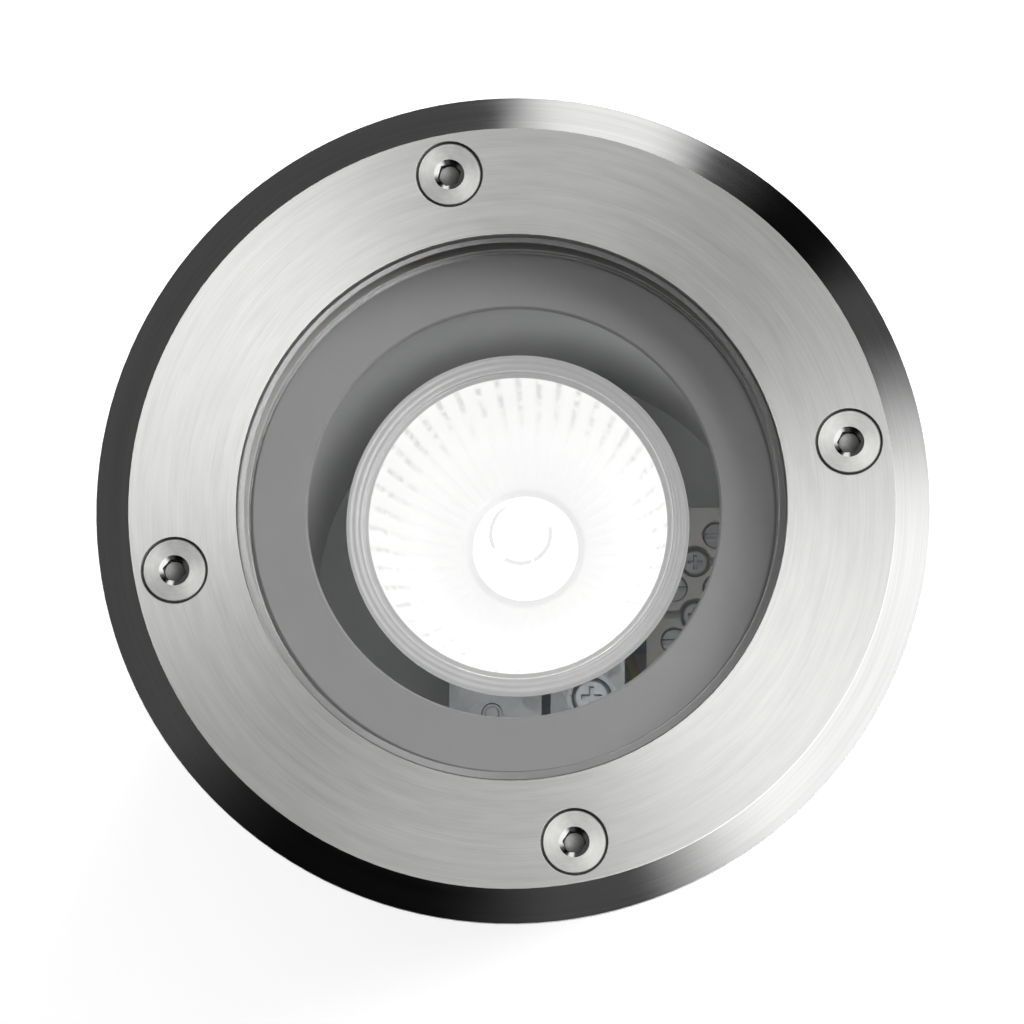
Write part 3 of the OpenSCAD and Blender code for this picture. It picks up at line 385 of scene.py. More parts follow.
# tree 2 turns an outline round the axis and presses a rounded flute into each of its marked stretches
fluteTree, given = newTree("outlineTurnedAndFluted", [
    ("Geometry", "Geometry"), ("Steps", "Int"), ("Flutes", "Int"), ("Flute Depth", "Float"),
    ("Material", "Material")])
pointCount = addNode(fluteTree, "GeometryNodeAttributeDomainSize", {"Geometry": given["Geometry"]})
ringCount = addNode(fluteTree, "Math", {0: pointCount, 1: 1.0}, operation="ADD")
seamCount = addNode(fluteTree, "Math", {0: given["Steps"], 1: 1.0}, operation="ADD")
net = addNode(fluteTree, "GeometryNodeMeshGrid", {"Vertices X": ringCount, "Vertices Y": seamCount})
number = addNode(fluteTree, "GeometryNodeInputIndex")
row = number
for kind, value in (("DIVIDE", seamCount), ("ADD", 0.0001), ("FLOOR", 0.0), ("MODULO", pointCount)):
    row = addNode(fluteTree, "Math", {0: row, 1: value}, operation=kind)
step = addNode(fluteTree, "Math", {0: number, 1: seamCount}, operation="MODULO")
turnShare = addNode(fluteTree, "Math", {0: step, 1: given["Steps"]}, operation="DIVIDE")
angle = addNode(fluteTree, "Math", {0: turnShare, 1: tau}, operation="MULTIPLY")
ownSpot = addNode(fluteTree, "GeometryNodeInputPosition")
ownWeight = addNode(fluteTree, "GeometryNodeInputNamedAttribute", {"Name": "weight"}, data_type="FLOAT")
outlineSpot, weight = (
    addNode(fluteTree, "GeometryNodeSampleIndex",
            {"Geometry": given["Geometry"], "Index": row, "Value": value}, data_type=kind, domain="POINT")
    for value, kind in ((ownSpot, "FLOAT_VECTOR"), (ownWeight, "FLOAT")))
parts = addNode(fluteTree, "SeparateXYZ", {0: outlineSpot}).outputs
press = angle
for kind, value in (("MULTIPLY", given["Flutes"]), ("COSINE", 0.0), ("MULTIPLY_ADD", 0.5), ("POWER", 4.0),
                    ("MULTIPLY", weight), ("MULTIPLY", given["Flute Depth"])):
    press = addNode(fluteTree, "Math", {0: press, 1: value, 2: 0.5}, operation=kind)
reach = addNode(fluteTree, "Math", {0: parts[0], 1: press}, operation="SUBTRACT")
spot = spotRound(fluteTree, angle, reach, parts[2])
bentNet = addNode(fluteTree, "GeometryNodeSetPosition", {"Geometry": net, "Position": spot})
closedNet = addNode(fluteTree, "GeometryNodeMergeByDistance", {"Geometry": bentNet, "Distance": 0.000001})
endTree(fluteTree, closedNet, given["Material"])


# tree 3 runs a round tube through the start mesh's points and marks each point's place on its girth
tubeTree, given = newTree("tubeThroughPoints", [
    ("Geometry", "Geometry"), ("Radius", "Float"), ("Sides", "Int"), ("Steps", "Int"),
    ("Material", "Material")])
line = addNode(tubeTree, "GeometryNodeMeshToCurve", {"Mesh": given["Geometry"]})
line = addNode(tubeTree, "GeometryNodeCurveSplineType", {"Curve": line}, spline_type="CATMULL_ROM")
line = addNode(tubeTree, "GeometryNodeSetSplineResolution", {"Geometry": line, "Resolution": given["Steps"]})
girth = addNode(tubeTree, "GeometryNodeCurvePrimitiveCircle",
                {"Resolution": given["Sides"], "Radius": given["Radius"]}, mode="RADIUS")
girth = addNode(tubeTree, "GeometryNodeStoreNamedAttribute",
                {"Geometry": girth, "Name": "girth",
                 "Value": addNode(tubeTree, "GeometryNodeSplineParameter")},
                data_type="FLOAT", domain="POINT")
tube = addNode(tubeTree, "GeometryNodeCurveToMesh",
               {"Curve": line, "Profile Curve": girth, "Fill Caps": True})
endTree(tubeTree, tube, given["Material"])


# tree 4 winds a line into a straight coil along X and makes it a wire
coilTree, given = newTree("straightCoil", [
    ("Geometry", "Geometry"), ("Turns", "Float"), ("Length", "Float"), ("Coil Radius", "Float"),
    ("Wire Radius", "Float"), ("Steps", "Int"), ("Material", "Material")])
line = addNode(coilTree, "GeometryNodeCurvePrimitiveLine", {"Start": (0, 0, 0), "End": (1, 0, 0)})
line = addNode(coilTree, "GeometryNodeResampleCurve", {"Curve": line, "Count": given["Steps"]})
along = addNode(coilTree, "GeometryNodeSplineParameter")
turns = along
for value in (given["Turns"], tau):
    turns = addNode(coilTree, "Math", {0: turns, 1: value}, operation="MULTIPLY")
coilY, coilZ = (addNode(coilTree, "Math", {0: turns}, operation=kind) for kind in ("COSINE", "SINE"))
winding = addNode(coilTree, "CombineXYZ", {"Y": coilY, "Z": coilZ})
winding = addNode(coilTree, "VectorMath", {0: winding, "Scale": given["Coil Radius"]}, operation="SCALE")
middle = addNode(coilTree, "Math", {0: along, 1: 0.5}, operation="SUBTRACT")
middle = addNode(coilTree, "Math", {0: middle, 1: given["Length"]}, operation="MULTIPLY")
middle = addNode(coilTree, "CombineXYZ", {"X": middle})
spot = addNode(coilTree, "VectorMath", {0: winding, 1: middle}, operation="ADD")
wound = addNode(coilTree, "GeometryNodeSetPosition", {"Geometry": line, "Position": spot})
girth = addNode(coilTree, "GeometryNodeCurvePrimitiveCircle",
                {"Resolution": 8, "Radius": given["Wire Radius"]}, mode="RADIUS")
wire = addNode(coilTree, "GeometryNodeCurveToMesh",
               {"Curve": wound, "Profile Curve": girth, "Fill Caps": True})
endTree(coilTree, wire, given["Material"])
print("trees built: partOnCircle, outlineTurnedAndFluted, tubeThroughPoints, straightCoil")

# brushed stainless: cool grey, long circular lines, light runs out from the centre in a fan
brushedSteel = turned("brushedStainless", ("#a9a9a8", "#c6c6c4"), lineMm=0.22, lineLength=0.5,
                      lineDepthMm=0.004, roughness=(0.46, 0.56), anisotropy=0.9, scratchDepthMm=0.006)
# the same steel where the tool has left it bright: sharper pictures of the studio
turnedChamfer = turned("turnedChamfer", ("#a6a6a6", "#b6b6b5"), lineMm=0.3, lineLength=1.2,
                       lineDepthMm=0.0005, roughness=(0.08, 0.12), anisotropy=0.2)
# stainless screw: faced on the lathe, a little darker than the plate; tool marks drawn 0.15 mm apart to show
facedScrew = turned("facedScrewSteel", ("#929290", "#a6a6a4"), lineMm=0.15, lineLength=0.8,
                    lineDepthMm=0.0012, roughness=(0.34, 0.44), anisotropy=0.5, centreAttribute="ownCentre")
# punched sockets and countersinks: the same steel coloured dark, painted shade for these recesses
recessShadeSteel = grainy("paintedShadeSteel", ("#5c5c5b", "#454544"), 1.5, 0.2, 0.004, (0.3, 0.45), {"Metallic": 1.0})
# toughened float glass: clear and colourless
toughGlass = clear("toughenedGlass", {"Base Color": linear("#fcfcfc"), "IOR": 1.5, "Roughness": 0.0})
# its ground side: matt grey, with a faint painted glow that stands in for the lamplight the glass carries out
# to it
groundEdgePaintedGlow = grainy("groundGlassPaintedGlow", ("#949795", "#888b89"), 4.0, 0.3, 0.01, (0.5, 0.65), {
    "Transmission Weight": 0.25, "Emission Color": linear("#ffffff"), "Emission Strength": 0.09})
# silicone gasket: mid grey, dull, slightly see-through
silicone = grainy("siliconeRubber", ("#c6c6c4", "#b8b8b6"), 3.0, 0.4, 0.01, (0.45, 0.6),
                  {"Subsurface Weight": 0.15, "Subsurface Scale": 0.001})
# powder-painted aluminium casting: light grey with a fine orange peel
castPaint = grainy("paintedCasting", ("#d6d7d7", "#cbcccd"), 14.0, 0.9, 0.02, (0.42, 0.58))
# stoved paint on sheet: smoother than the casting, even grey
sheetPaint = grainy("stovedPaint", ("#a0a0a0", "#979797"), 18.0, 0.4, 0.0001, (0.44, 0.48))
# moulded polypropylene: near black with a spark-eroded grain that greys it
sleevePlastic = grainy("mouldedPolypropylene", ("#313233", "#212223"), 14.0, 0.8, 0.05, (0.42, 0.66))
# moulded nylon: black, a little glossier than the sleeve
glandNylon = grainy("mouldedNylon", ("#222223", "#19191a"), 6.0, 0.5, 0.01, (0.32, 0.46))
# nitrile rubber: soft black, dull
sealRubber = grainy("nitrileRubber", ("#202020", "#181818"), 4.0, 0.3, 0.01, (0.6, 0.75))
# glazed steatite: warm white, thin uneven glaze
steatite = grainy("glazedSteatite", ("#e6e1d6", "#d8d2c5"), 5.0, 0.6, 0.006, (0.22, 0.4),
                  {"Coat Weight": 0.3, "Coat Roughness": 0.2})
# free-cutting brass, turned: warm yellow, a little dulled
brass = grainy("turnedBrass", ("#c8a65a", "#b08f48"), 3.0, 0.25, 0.006, (0.25, 0.4), {"Metallic": 1.0})
# nickel-plated spring bronze: pale gold grey, smooth from the strip mill
contactMetal = grainy("platedBronze", ("#c9bfa6", "#b3a78c"), 2.0, 0.3, 0.004, (0.25, 0.38),
                      {"Metallic": 1.0})
# zinc-plated steel: bluish white, faint clouds
zincSteel = grainy("zincPlate", ("#bfc4c9", "#a7abae"), 2.5, 0.3, 0.005, (0.28, 0.42), {"Metallic": 1.0})
# the same plating, passivated grey: small screws
dullZinc = grainy("passivatedZinc", ("#a9acae", "#969a9c"), 1.5, 0.3, 0.005, (0.4, 0.55), {"Metallic": 1.0})
# galvanised strip: soft spangle of 2 mm crystals
strapSteel = spangled("galvanisedStrip", ("#9b9ea0", "#b7babb"), 2.0, (0.3, 0.5))
# natural nylon, moulded: pale, soft light under the surface
blockNylon = grainy("naturalNylon", ("#e3e3df", "#d7d7d3"), 5.0, 0.4, 0.008, (0.35, 0.5),
                    {"Subsurface Weight": 0.25, "Subsurface Scale": 0.0015})
# extruded silicone insulation: smooth, soft gloss
leadBrown = grainy("brownSilicone", ("#5d3a24", "#4c2e1b"), 3.0, 0.3, 0.006, (0.4, 0.55))
leadBlue = grainy("blueSilicone", ("#2f5f92", "#254f7d"), 3.0, 0.3, 0.006, (0.4, 0.55))
# quartz, full of the filament's light; and the lamp's plain cover glass
quartz = clear("quartzGlass", {"Base Color": linear("#ffffff"), "IOR": 1.46, "Roughness": 0.02,
                               "Emission Color": linear("#ffffff"), "Emission Strength": 0.14})
coverGlass = clear("lampCoverGlass", {"Base Color": linear("#ffffff"), "IOR": 1.5, "Roughness": 0.0})
# the lamp's steatite foot: its floor, up in the mirror's neck, is made white with emission, a painted pool of
# the capsule's light
steatitePaintedLight = grainy("steatitePaintedLight", ("#e6e1d6", "#d8d2c5"), 5.0, 0.6, 0.006, (0.22, 0.4),
                     {"Emission Color": linear("#ffffff")})
footPaintedGlow = {"radius": (8.4, 7.9), "height": (65, 69)}   # where the glow starts and is full
tree = steatitePaintedLight.node_tree
place = addNode(tree, "TexCoord").outputs["Object"]
radius = flattened(tree, place)[1]
height = addNode(tree, "SeparateXYZ", {0: place}).outputs[2]
inNeck, upHigh = (
    addNode(tree, "MapRange", {"Value": value, "From Min": span[0] * mm, "From Max": span[1] * mm})
    for value, span in ((radius, footPaintedGlow["radius"]), (height, footPaintedGlow["height"])))
# painted glow: emission only where the floor lies deep in the neck
glow = addNode(tree, "Math", {0: inNeck, 1: upHigh}, operation="MULTIPLY")
feed(tree, tree.nodes["Principled BSDF"], {"Emission Strength": glow})
# nickel plate on turned pins: warm grey, bright
nickel = grainy("nickelPlate", ("#c9c6bf", "#b4b0a7"), 2.0, 0.25, 0.004, (0.2, 0.32), {"Metallic": 1.0})

# earth lead: green insulation with one yellow stripe along it
leadEarth, tree, shader = newMaterial("stripedSilicone", {"Roughness": 0.45})
girthShare = addNode(tree, "Attribute", attribute_name="girth").outputs["Fac"]
offStripe = addNode(tree, "Math", {0: girthShare, 1: 0.5}, operation="SUBTRACT")
offStripe = addNode(tree, "Math", {0: offStripe}, operation="ABSOLUTE")
ragged = addNode(tree, "TexNoise",
                 {"Vector": addNode(tree, "TexCoord").outputs["Object"], "Scale": 1200.0, "Detail": 2.0})
offStripe = addNode(tree, "Math", {0: ragged, 1: 0.04, 2: offStripe}, operation="MULTIPLY_ADD")
stripe = addNode(tree, "MapRange", {"Value": offStripe, "From Min": 0.2, "From Max": 0.215})
dress(tree, shader, stripe, ("#b9ab42", "#477a38"), ragged, 0.004)

# tungsten, glowing: the coil is a little brighter where it is drawn thinner
tungsten, tree, shader = newMaterial("glowingTungsten", {
    "Base Color": linear("#5a5a58"), "Metallic": 1.0, "Roughness": 0.5, "Emission Color": linear("#fff4e0")})
uneven = addNode(tree, "TexNoise",
                 {"Vector": addNode(tree, "TexCoord").outputs["Object"], "Scale": 1500.0, "Detail": 2.0})
heat = addNode(tree, "MapRange", {"Value": uneven, "To Min": 3.0, "To Max": 5.0})
feed(tree, shader, {"Emission Strength": heat})
print("materials made:", len(bpy.data.materials))

# lamp
lampGlow = {
    "mirror": 1.04,              # radiance of the mirror's inside, before the two glasses over it
    "mouth": 0.08,               # how much darker its mouth is
    "strokes": 0.26,             # and the strokes between the flutes there
    "mouthRadius": (15.5, 20),   # where the mouth starts and is full
    "neck": 0.12,                # how much darker the neck round the capsule is
    "neckRadius": (9.2, 8.5),
    "rim": 0.33,                 # light that the pressed rim passes on
    "ringPitch": 0.9,            # the rim's pressed rings
    "leak": (3.0, 0.3),          # light through the mirror's back, at its neck and at its mouth
    "leakHeight": (5, 13),       # above the lamp's foot
}
lampLow, lampHigh = (v * 1000 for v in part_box("lamp_reflector"))
coverLow, coverHigh = (v * 1000 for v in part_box("lamp_cover_glass"))
reflector = {
    "neckRadius": 9.6, "neckWall": 1.8, "floor": 1.6, "neckHeight": 7.0,
    "rimWidth": lampHigh.x - coverHigh.x + 0.9, "rimHeight": 3.5, "seatGap": 0.05,
    "shoulder": 0.8, "rimBevel": 0.5, "rimFillet": 0.15,
    "flutes": 44, "fluteDepth": 0.22, "steps": 352, "curvePoints": 14,
}
mouth = lampHigh.x - reflector["rimWidth"]
bowlFoot = lampLow.z + reflector["neckHeight"]

# aluminised mirror, lit from inside: near white, with short darker strokes at the mouth
litMirror, tree, shader = newMaterial("litMirror", {
    "Base Color": linear("#3c3c3c"), "Metallic": 0.6, "Roughness": 0.3,
    "Emission Strength": lampGlow["mirror"]})
place = addNode(tree, "TexCoord").outputs["Object"]
axes = addNode(tree, "SeparateXYZ", {0: place}).outputs
turnAngle = addNode(tree, "Math", {0: axes[1], 1: axes[0]}, operation="ARCTAN2")
wave = addNode(tree, "Math", {0: turnAngle, 1: float(reflector["flutes"])}, operation="MULTIPLY")
wave = addNode(tree, "Math", {0: wave}, operation="COSINE")
radius = flattened(tree, place)[1]
mouthStart, mouthFull = (r * mm for r in lampGlow["mouthRadius"])
nearMouth = addNode(tree, "MapRange", {"Value": radius, "From Min": mouthStart, "From Max": mouthFull})
uneven = addNode(tree, "TexNoise", {"Vector": place, "Scale": 450.0, "Detail": 2.0})
stroke = addNode(tree, "MapRange", {"Value": wave, "From Min": 0.35, "From Max": 1.0})
broken = addNode(tree, "MapRange", {"Value": uneven, "From Min": 0.38, "From Max": 0.62})
dark = stroke
for share in (nearMouth, broken, lampGlow["strokes"]):
    dark = addNode(tree, "Math", {0: dark, 1: share}, operation="MULTIPLY")
dark = addNode(tree, "Math", {0: nearMouth, 1: lampGlow["mouth"], 2: dark}, operation="MULTIPLY_ADD")
neckStart, neckFull = (r * mm for r in lampGlow["neckRadius"])
inNeck = addNode(tree, "MapRange", {
    "Value": radius, "From Min": neckStart, "From Max": neckFull, "To Max": lampGlow["neck"]})
dark = addNode(tree, "Math", {0: dark, 1: inNeck}, operation="ADD")
bright = addNode(tree, "Math", {0: 1.0, 1: dark}, operation="SUBTRACT", use_clamp=True)
tint = addNode(tree, "Mix", {0: bright, 6: (0, 0, 0, 1), 7: (1, 1, 1, 1)}, data_type="RGBA")
feed(tree, shader, {"Emission Color": tint.outputs[2]})

# pressed glass rim: greyish, glossy, with fine pressed rings
rimGlass, tree, shader = newMaterial("pressedGlassRim", {
    "Roughness": 0.14, "IOR": 1.5, "Emission Color": linear("#ffffff"), "Emission Strength": lampGlow["rim"]})
place = addNode(tree, "TexCoord").outputs["Object"]
radius = flattened(tree, place)[1]
rings = addNode(tree, "Math", {0: radius, 1: tau / (lampGlow["ringPitch"] * mm)}, operation="MULTIPLY")
rings = addNode(tree, "Math", {0: rings}, operation="SINE")
clouds = addNode(tree, "TexNoise", {"Vector": place, "Scale": 220.0, "Detail": 3.0})
mottle = addNode(tree, "Math", {0: rings, 1: 0.2, 2: clouds}, operation="MULTIPLY_ADD")
dress(tree, shader, mottle, ("#7e7e7e", "#9c9c9c"), rings, 0.05)

# mirror's back: smoky coating that lets light through, most near the capsule at the neck
mirrorBack, tree, shader = newMaterial("coatedGlassBack", {
    "Base Color": linear("#8f8f92"), "Metallic": 0.4, "Roughness": 0.3, "Emission Color": linear("#ffffff")})
place = addNode(tree, "TexCoord").outputs["Object"]
clouds = addNode(tree, "TexNoise", {"Vector": place, "Scale": 160.0, "Detail": 3.0})
uneven = addNode(tree, "MapRange", {
    "Value": clouds, "From Min": 0.3, "From Max": 0.7, "To Min": 0.7, "To Max": 1.3})
height = addNode(tree, "SeparateXYZ", {0: place}).outputs[2]
leakLow, leakHigh = ((lampLow.z + z) * mm for z in lampGlow["leakHeight"])
leak = addNode(tree, "MapRange", {"Value": height, "From Min": leakLow, "From Max": leakHigh,
                                  "To Min": lampGlow["leak"][0], "To Max": lampGlow["leak"][1]})
leak = addNode(tree, "Math", {0: leak, 1: uneven}, operation="MULTIPLY")
feed(tree, shader, {"Emission Strength": leak})


def bowlOutline(lowRadius, highRadius, low, high):
    shares = [k / (reflector["curvePoints"] - 1) for k in range(reflector["curvePoints"])]
    return [(lowRadius + (highRadius - lowRadius) * u, 0, low + (high - low) * u * u) for u in shares]


innerNeck = reflector["neckRadius"] - reflector["neckWall"]
seat = coverHigh.x + reflector["seatGap"]
innerWall = bowlOutline(innerNeck, mouth, bowlFoot + reflector["floor"], coverLow.z)
outside, top, rimFoot = lampHigh.x, lampHigh.z, lampHigh.z - reflector["rimHeight"]
shoulder, bevel, fillet = reflector["shoulder"], reflector["rimBevel"], reflector["rimFillet"]
outerWall = bowlOutline(reflector["neckRadius"], outside - shoulder, bowlFoot, rimFoot)
rim = [(outside, 0, rimFoot + shoulder), (outside, 0, top - bevel), (outside - fillet, 0, top - fillet),
       (outside - bevel, 0, top), (seat + fillet, 0, top), (seat, 0, top - fillet), (seat, 0, coverLow.z)]
neck = [(innerNeck, 0, lampLow.z), (reflector["neckRadius"], 0, lampLow.z)]
outline = neck + outerWall + rim + innerWall[::-1]
fluteFrom, fluteTo = len(outline) - len(innerWall) + 1, len(outline) - 3
fluted = [1.0 if fluteFrom <= k < fluteTo else 0.0 for k in range(len(outline))]
mesh = grown("reflector", fluteTree, {
    "Steps": reflector["steps"], "Flutes": reflector["flutes"], "Flute Depth": reflector["fluteDepth"] * mm,
    "Material": litMirror}, lineMesh("reflectorOutline", outline, True, fluted))
bm = bmesh.new()
bm.from_mesh(mesh)
bmesh.ops.recalc_face_normals(bm, faces=bm.faces)
bm.to_mesh(mesh)
bm.free()
smoothed(mesh, 40)
# 0 is the mirror, 1 the pressed rim, 2 the coated back
zones = []
for face in mesh.polygons:
    r, z = face.center.xy.length / mm, face.center.z / mm
    outward = face.normal.xy.dot(face.center.xy.normalized())
    if z > rimFoot and (outward > 0.5 or face.normal.z > 0.5 or z > coverLow.z + 0.1):
        zones.append(1)
    elif outward > 0.1 or face.normal.z < -0.3:
        zones.append(2)
    else:
        zones.append(0)
newPiece("reflector", mesh, "lamp_reflector", [litMirror, rimGlass, mirrorBack])
mesh.polygons.foreach_set("material_index", zones)
print("lamp reflector made:", len(mesh.polygons), "faces")

filament = {"coilHeight": 91.0, "coilLength": 4.6, "coilRadius": 0.42, "wireRadius": 0.12, "turns": 11.0,
            "steps": 220, "legHalfSpan": 2.2, "legRadius": 0.3, "legFoot": 69.6, "legTip": 0.2,
            "legTaper": 0.7, "turned": -20.0}
coil = grown("filamentCoil", coilTree, {
    "Turns": filament["turns"], "Length": filament["coilLength"] * mm, "Steps": filament["steps"],
    "Coil Radius": filament["coilRadius"] * mm, "Wire Radius": filament["wireRadius"] * mm,
    "Material": tungsten})
bm = bmesh.new()
bm.from_mesh(coil)
bmesh.ops.translate(bm, verts=bm.verts, vec=(0, 0, filament["coilHeight"] * mm))
for side in (-1, 1):
    radius, low, high = filament["legRadius"], filament["legFoot"], filament["coilHeight"]
    rows = [(0, low), (radius, low), (radius, high - filament["legTip"]),
            (radius * filament["legTaper"], high), (0, high)]
    leg = spun(rows, steps=16)
    bmesh.ops.translate(leg, verts=leg.verts, vec=(side * filament["legHalfSpan"] * mm, 0, 0))
    legMesh = bpy.data.meshes.new("filamentLeg")
    leg.to_mesh(legMesh)
    leg.free()
    bm.from_mesh(legMesh)
bmesh.ops.rotate(bm, verts=bm.verts, matrix=Matrix.Rotation(radians(filament["turned"]), 3, "Z"))
newPiece("filament", meshOf(bm, "filament", 50), "lamp_filament", [tungsten])

refined("lampCover", "lamp_cover_glass", [coverGlass], 0.25)
refined("capsule", "lamp_capsule", [quartz], 0.0, sharpAngle=40)
refined("lampFoot", "lamp_base", [steatitePaintedLight], 0.3)
refined("lampPins", "lamp_pins", [nickel], 0.3)
print("lamp made")

# bezel, its screws, the glass and its gasket
screw = {
    "count": 4, "circleRadius": 49.3, "firstAngle": 100.5, "headTop": 129.9, "length": 15.9,
    "headRadius": 4.55, "headEdge": 0.15, "edgeRound": 0.4, "headLand": 0.2, "shankRadius": 2.5,
    "neckOut": 0.1, "neckUp": 0.12, "threadPitch": 0.8, "threadDepth": 0.42, "threadEnd": 3.6, "tip": 0.6,
    "rowsPerTurn": 8, "fadeRows": 6,
    "socketFlats": 3.0, "socketDepth": 2.2, "socketCone": 0.35, "wallEnd": 0.5,
    "lipRadius": 2.2, "lipSlope": 0.45, "lipDepth": 0.4, "lipTilt": (0.6, 0.99), "lipRows": 4, "steps": 96,
    "flatHold": (0.05, 0.04),   # rings close to the flat's two rims, which keep it flat in the light
}
bezelFinish = {"chamferFrom": 54.5, "chamferTilt": (0.8, 0.97), "sinkRadius": 5.1, "sinkTilt": 0.95}
bezel = refined("bezelPlate", "bezel", [brushedSteel, turnedChamfer, recessShadeSteel], 0.06,
                edgeAngle=20, sharpAngle=20)
screwCentres = []
for k in range(screw["count"]):
    angle = radians(screw["firstAngle"]) + k * tau / screw["count"]
    screwCentres.append(Vector((cos(angle), sin(angle))) * screw["circleRadius"] * mm)
steep, flattest = bezelFinish["chamferTilt"]
for face in bezel.data.polygons:
    nearest = min((face.center.xy - c).length for c in screwCentres) / mm
    if steep < face.normal.z < flattest and face.center.xy.length / mm > bezelFinish["chamferFrom"]:
        face.material_index = 1
    elif nearest < bezelFinish["sinkRadius"] and face.normal.z < bezelFinish["sinkTilt"]:
        # painted shade: the countersinks round the screw heads are coloured dark
        face.material_index = 2


def hexagonal(flats):
    return lambda a: flats / 2 / cos((a % (pi / 3)) - pi / 6)


def coneOrHexagon(reach, flats):
    return lambda a: max(reach, hexagonal(flats)(a))


def threaded(shank, depth, pitch, height):
    def radiusAt(a):
        phase = (height / pitch + a / tau) % 1.0
        return shank - depth * abs(2 * phase - 1)
    return radiusAt


def countersunkScrew():
    s = screw
    shank, head, edge, foot = s["shankRadius"], s["headRadius"], s["headEdge"], -s["length"]
    rows = [(0, foot), (shank - s["threadDepth"] - s["tip"], foot)]
    low, high = foot + s["tip"], -s["threadEnd"]
    count = int((high - low) / s["threadPitch"] * s["rowsPerTurn"])
    for k in range(count + 1):
        height = low + (high - low) * k / count
        fade = min(1.0, (count - k) / s["fadeRows"])
        rows.append((threaded(shank, s["threadDepth"] * fade, s["threadPitch"], height), height))
    under = -s["headLand"] - (head - shank)
    rows += [(shank, under - s["neckOut"]), (shank + s["neckOut"], under + s["neckUp"]),
             (head, -s["headLand"]), (head, -edge), (head - edge * s["edgeRound"], -edge * s["edgeRound"]),
             (head - edge, 0), (head - edge - s["flatHold"][0], 0), (s["lipRadius"] + s["flatHold"][1], 0)]
    # the lip is a cone, cut by the hexagon from its corners inwards
    corner, middle = s["socketFlats"] / 2 / cos(pi / 6), s["socketFlats"] / 2
    for k in range(-1, s["lipRows"] + 1):
        reach = s["lipRadius"] if k < 0 else corner + (middle - corner) * k / s["lipRows"]
        rows.append((coneOrHexagon(reach, s["socketFlats"]), -(s["lipRadius"] - reach) * s["lipSlope"]))
    rows += [(hexagonal(s["socketFlats"]), -s["socketDepth"] + s["wallEnd"]),
             (middle - s["flatHold"][0], -s["socketDepth"] + s["socketCone"]), (0, -s["socketDepth"])]
    return meshOf(spun(rows, steps=s["steps"]), "countersunkScrew", 18)


screws = onCircle("bezelScrews", countersunkScrew(), facedScrew, screw["count"], screw["circleRadius"],
                  screw["headTop"], screw["firstAngle"], ownTurn=300.0, seed=4)
newPiece("bezelScrews", screws, "bezel_screws", [facedScrew, recessShadeSteel, turnedChamfer])
steep, flattest = screw["lipTilt"]
for face in screws.polygons:
    nearest = min((face.center.xy - c).length for c in screwCentres) / mm
    depth = face.center.z / mm - screw["headTop"]
    if nearest < screw["lipRadius"] and -screw["lipDepth"] < depth and steep < face.normal.z < flattest:
        face.material_index = 2
    elif nearest < screw["lipRadius"] and -screw["socketDepth"] - 0.1 < depth < -0.1:
        # painted shade: the socket's walls and floor are coloured dark
        face.material_index = 1
lens = refined("glassLens", "glass_lens", [toughGlass, groundEdgePaintedGlow], 0.08, edgeAngle=40)
for face in lens.data.polygons:
    if abs(face.normal.z) < 0.3:   # its upright sides are ground
        face.material_index = 1
refined("gasket", "glass_gasket", [silicone], 0.2)
print("bezel group made")

# can and what it holds
refined("canBody", "can", [castPaint], 0.35)
insert = {"count": 4, "outer": 3.4, "bore": 2.6, "top": 126.4, "length": 10.0, "boreEdge": 0.25,
          "knurls": 32, "knurlDepth": 0.12, "leadIn": 0.3,
          "grooves": (3.0, 6.0), "grooveWidth": 1.0, "grooveDepth": 0.35, "grooveSlope": 0.05}


def knurledInsert():
    def knurled(a):
        return insert["outer"] - insert["knurlDepth"] * abs(2 * ((a * insert["knurls"] / tau) % 1.0) - 1)

    plain, bore, foot = insert["outer"] - insert["grooveDepth"], insert["bore"], -insert["length"]
    slope, leadIn, edge = insert["grooveSlope"], insert["leadIn"], insert["boreEdge"]
    rows = [(bore, foot), (plain, foot), (knurled, foot + leadIn)]
    for depth in reversed(insert["grooves"]):
        rows += [(knurled, -depth - slope), (plain, -depth), (plain, -depth + insert["grooveWidth"]),
                 (knurled, -depth + insert["grooveWidth"] + slope)]
    rows += [(knurled, -leadIn), (plain, 0), (bore + edge, 0), (bore, -edge)]
    return meshOf(spun(rows, steps=insert["knurls"] * 4, closed=True), "knurledInsert", 25)


inserts = onCircle("inserts", knurledInsert(), brass, insert["count"], screw["circleRadius"], insert["top"],
                   screw["firstAngle"], ownTurn=360.0, seed=2)
newPiece("inserts", inserts, "thread_inserts", [brass])
refined("glareRing", "glare_ring", [sheetPaint], 0.1, edgeAngle=30)
for name, node, slot, material, edgeMm in (
        ("holder", "lampholder", "steatite", steatite, 0.3),
        ("holderContacts", "lampholder_contacts", "contact_metal", contactMetal, 0.1),
        ("holderScrews", "lampholder_screws", "zinc_steel", zincSteel, 0.08),
        ("holderNuts", "lampholder_nuts", "zinc_steel", zincSteel, 0.15),
        ("strap", "holder_bracket", "strap_steel", strapSteel, 0.2),
        ("strapScrews", "bracket_screws", "zinc_steel", zincSteel, 0.08),
        ("terminalBlock", "terminal_block", "block_nylon", blockNylon, 0.25),
        ("terminalClamps", "terminal_clamps", "brass", brass, 0.08),
        ("terminalScrews", "terminal_screws", "zinc_steel", dullZinc, 0.08),
        ("blockScrews", "block_screws", "zinc_steel", dullZinc, 0.06),
        ("earthTag", "earth_ring_terminal", "zinc_steel", zincSteel, 0.08),
        ("earthWasher", "earth_washer", "zinc_steel", zincSteel, 0.05),
        ("earthScrew", "earth_screw", "zinc_steel", zincSteel, 0.08)):
    refined(name, node, [material], edgeMm)

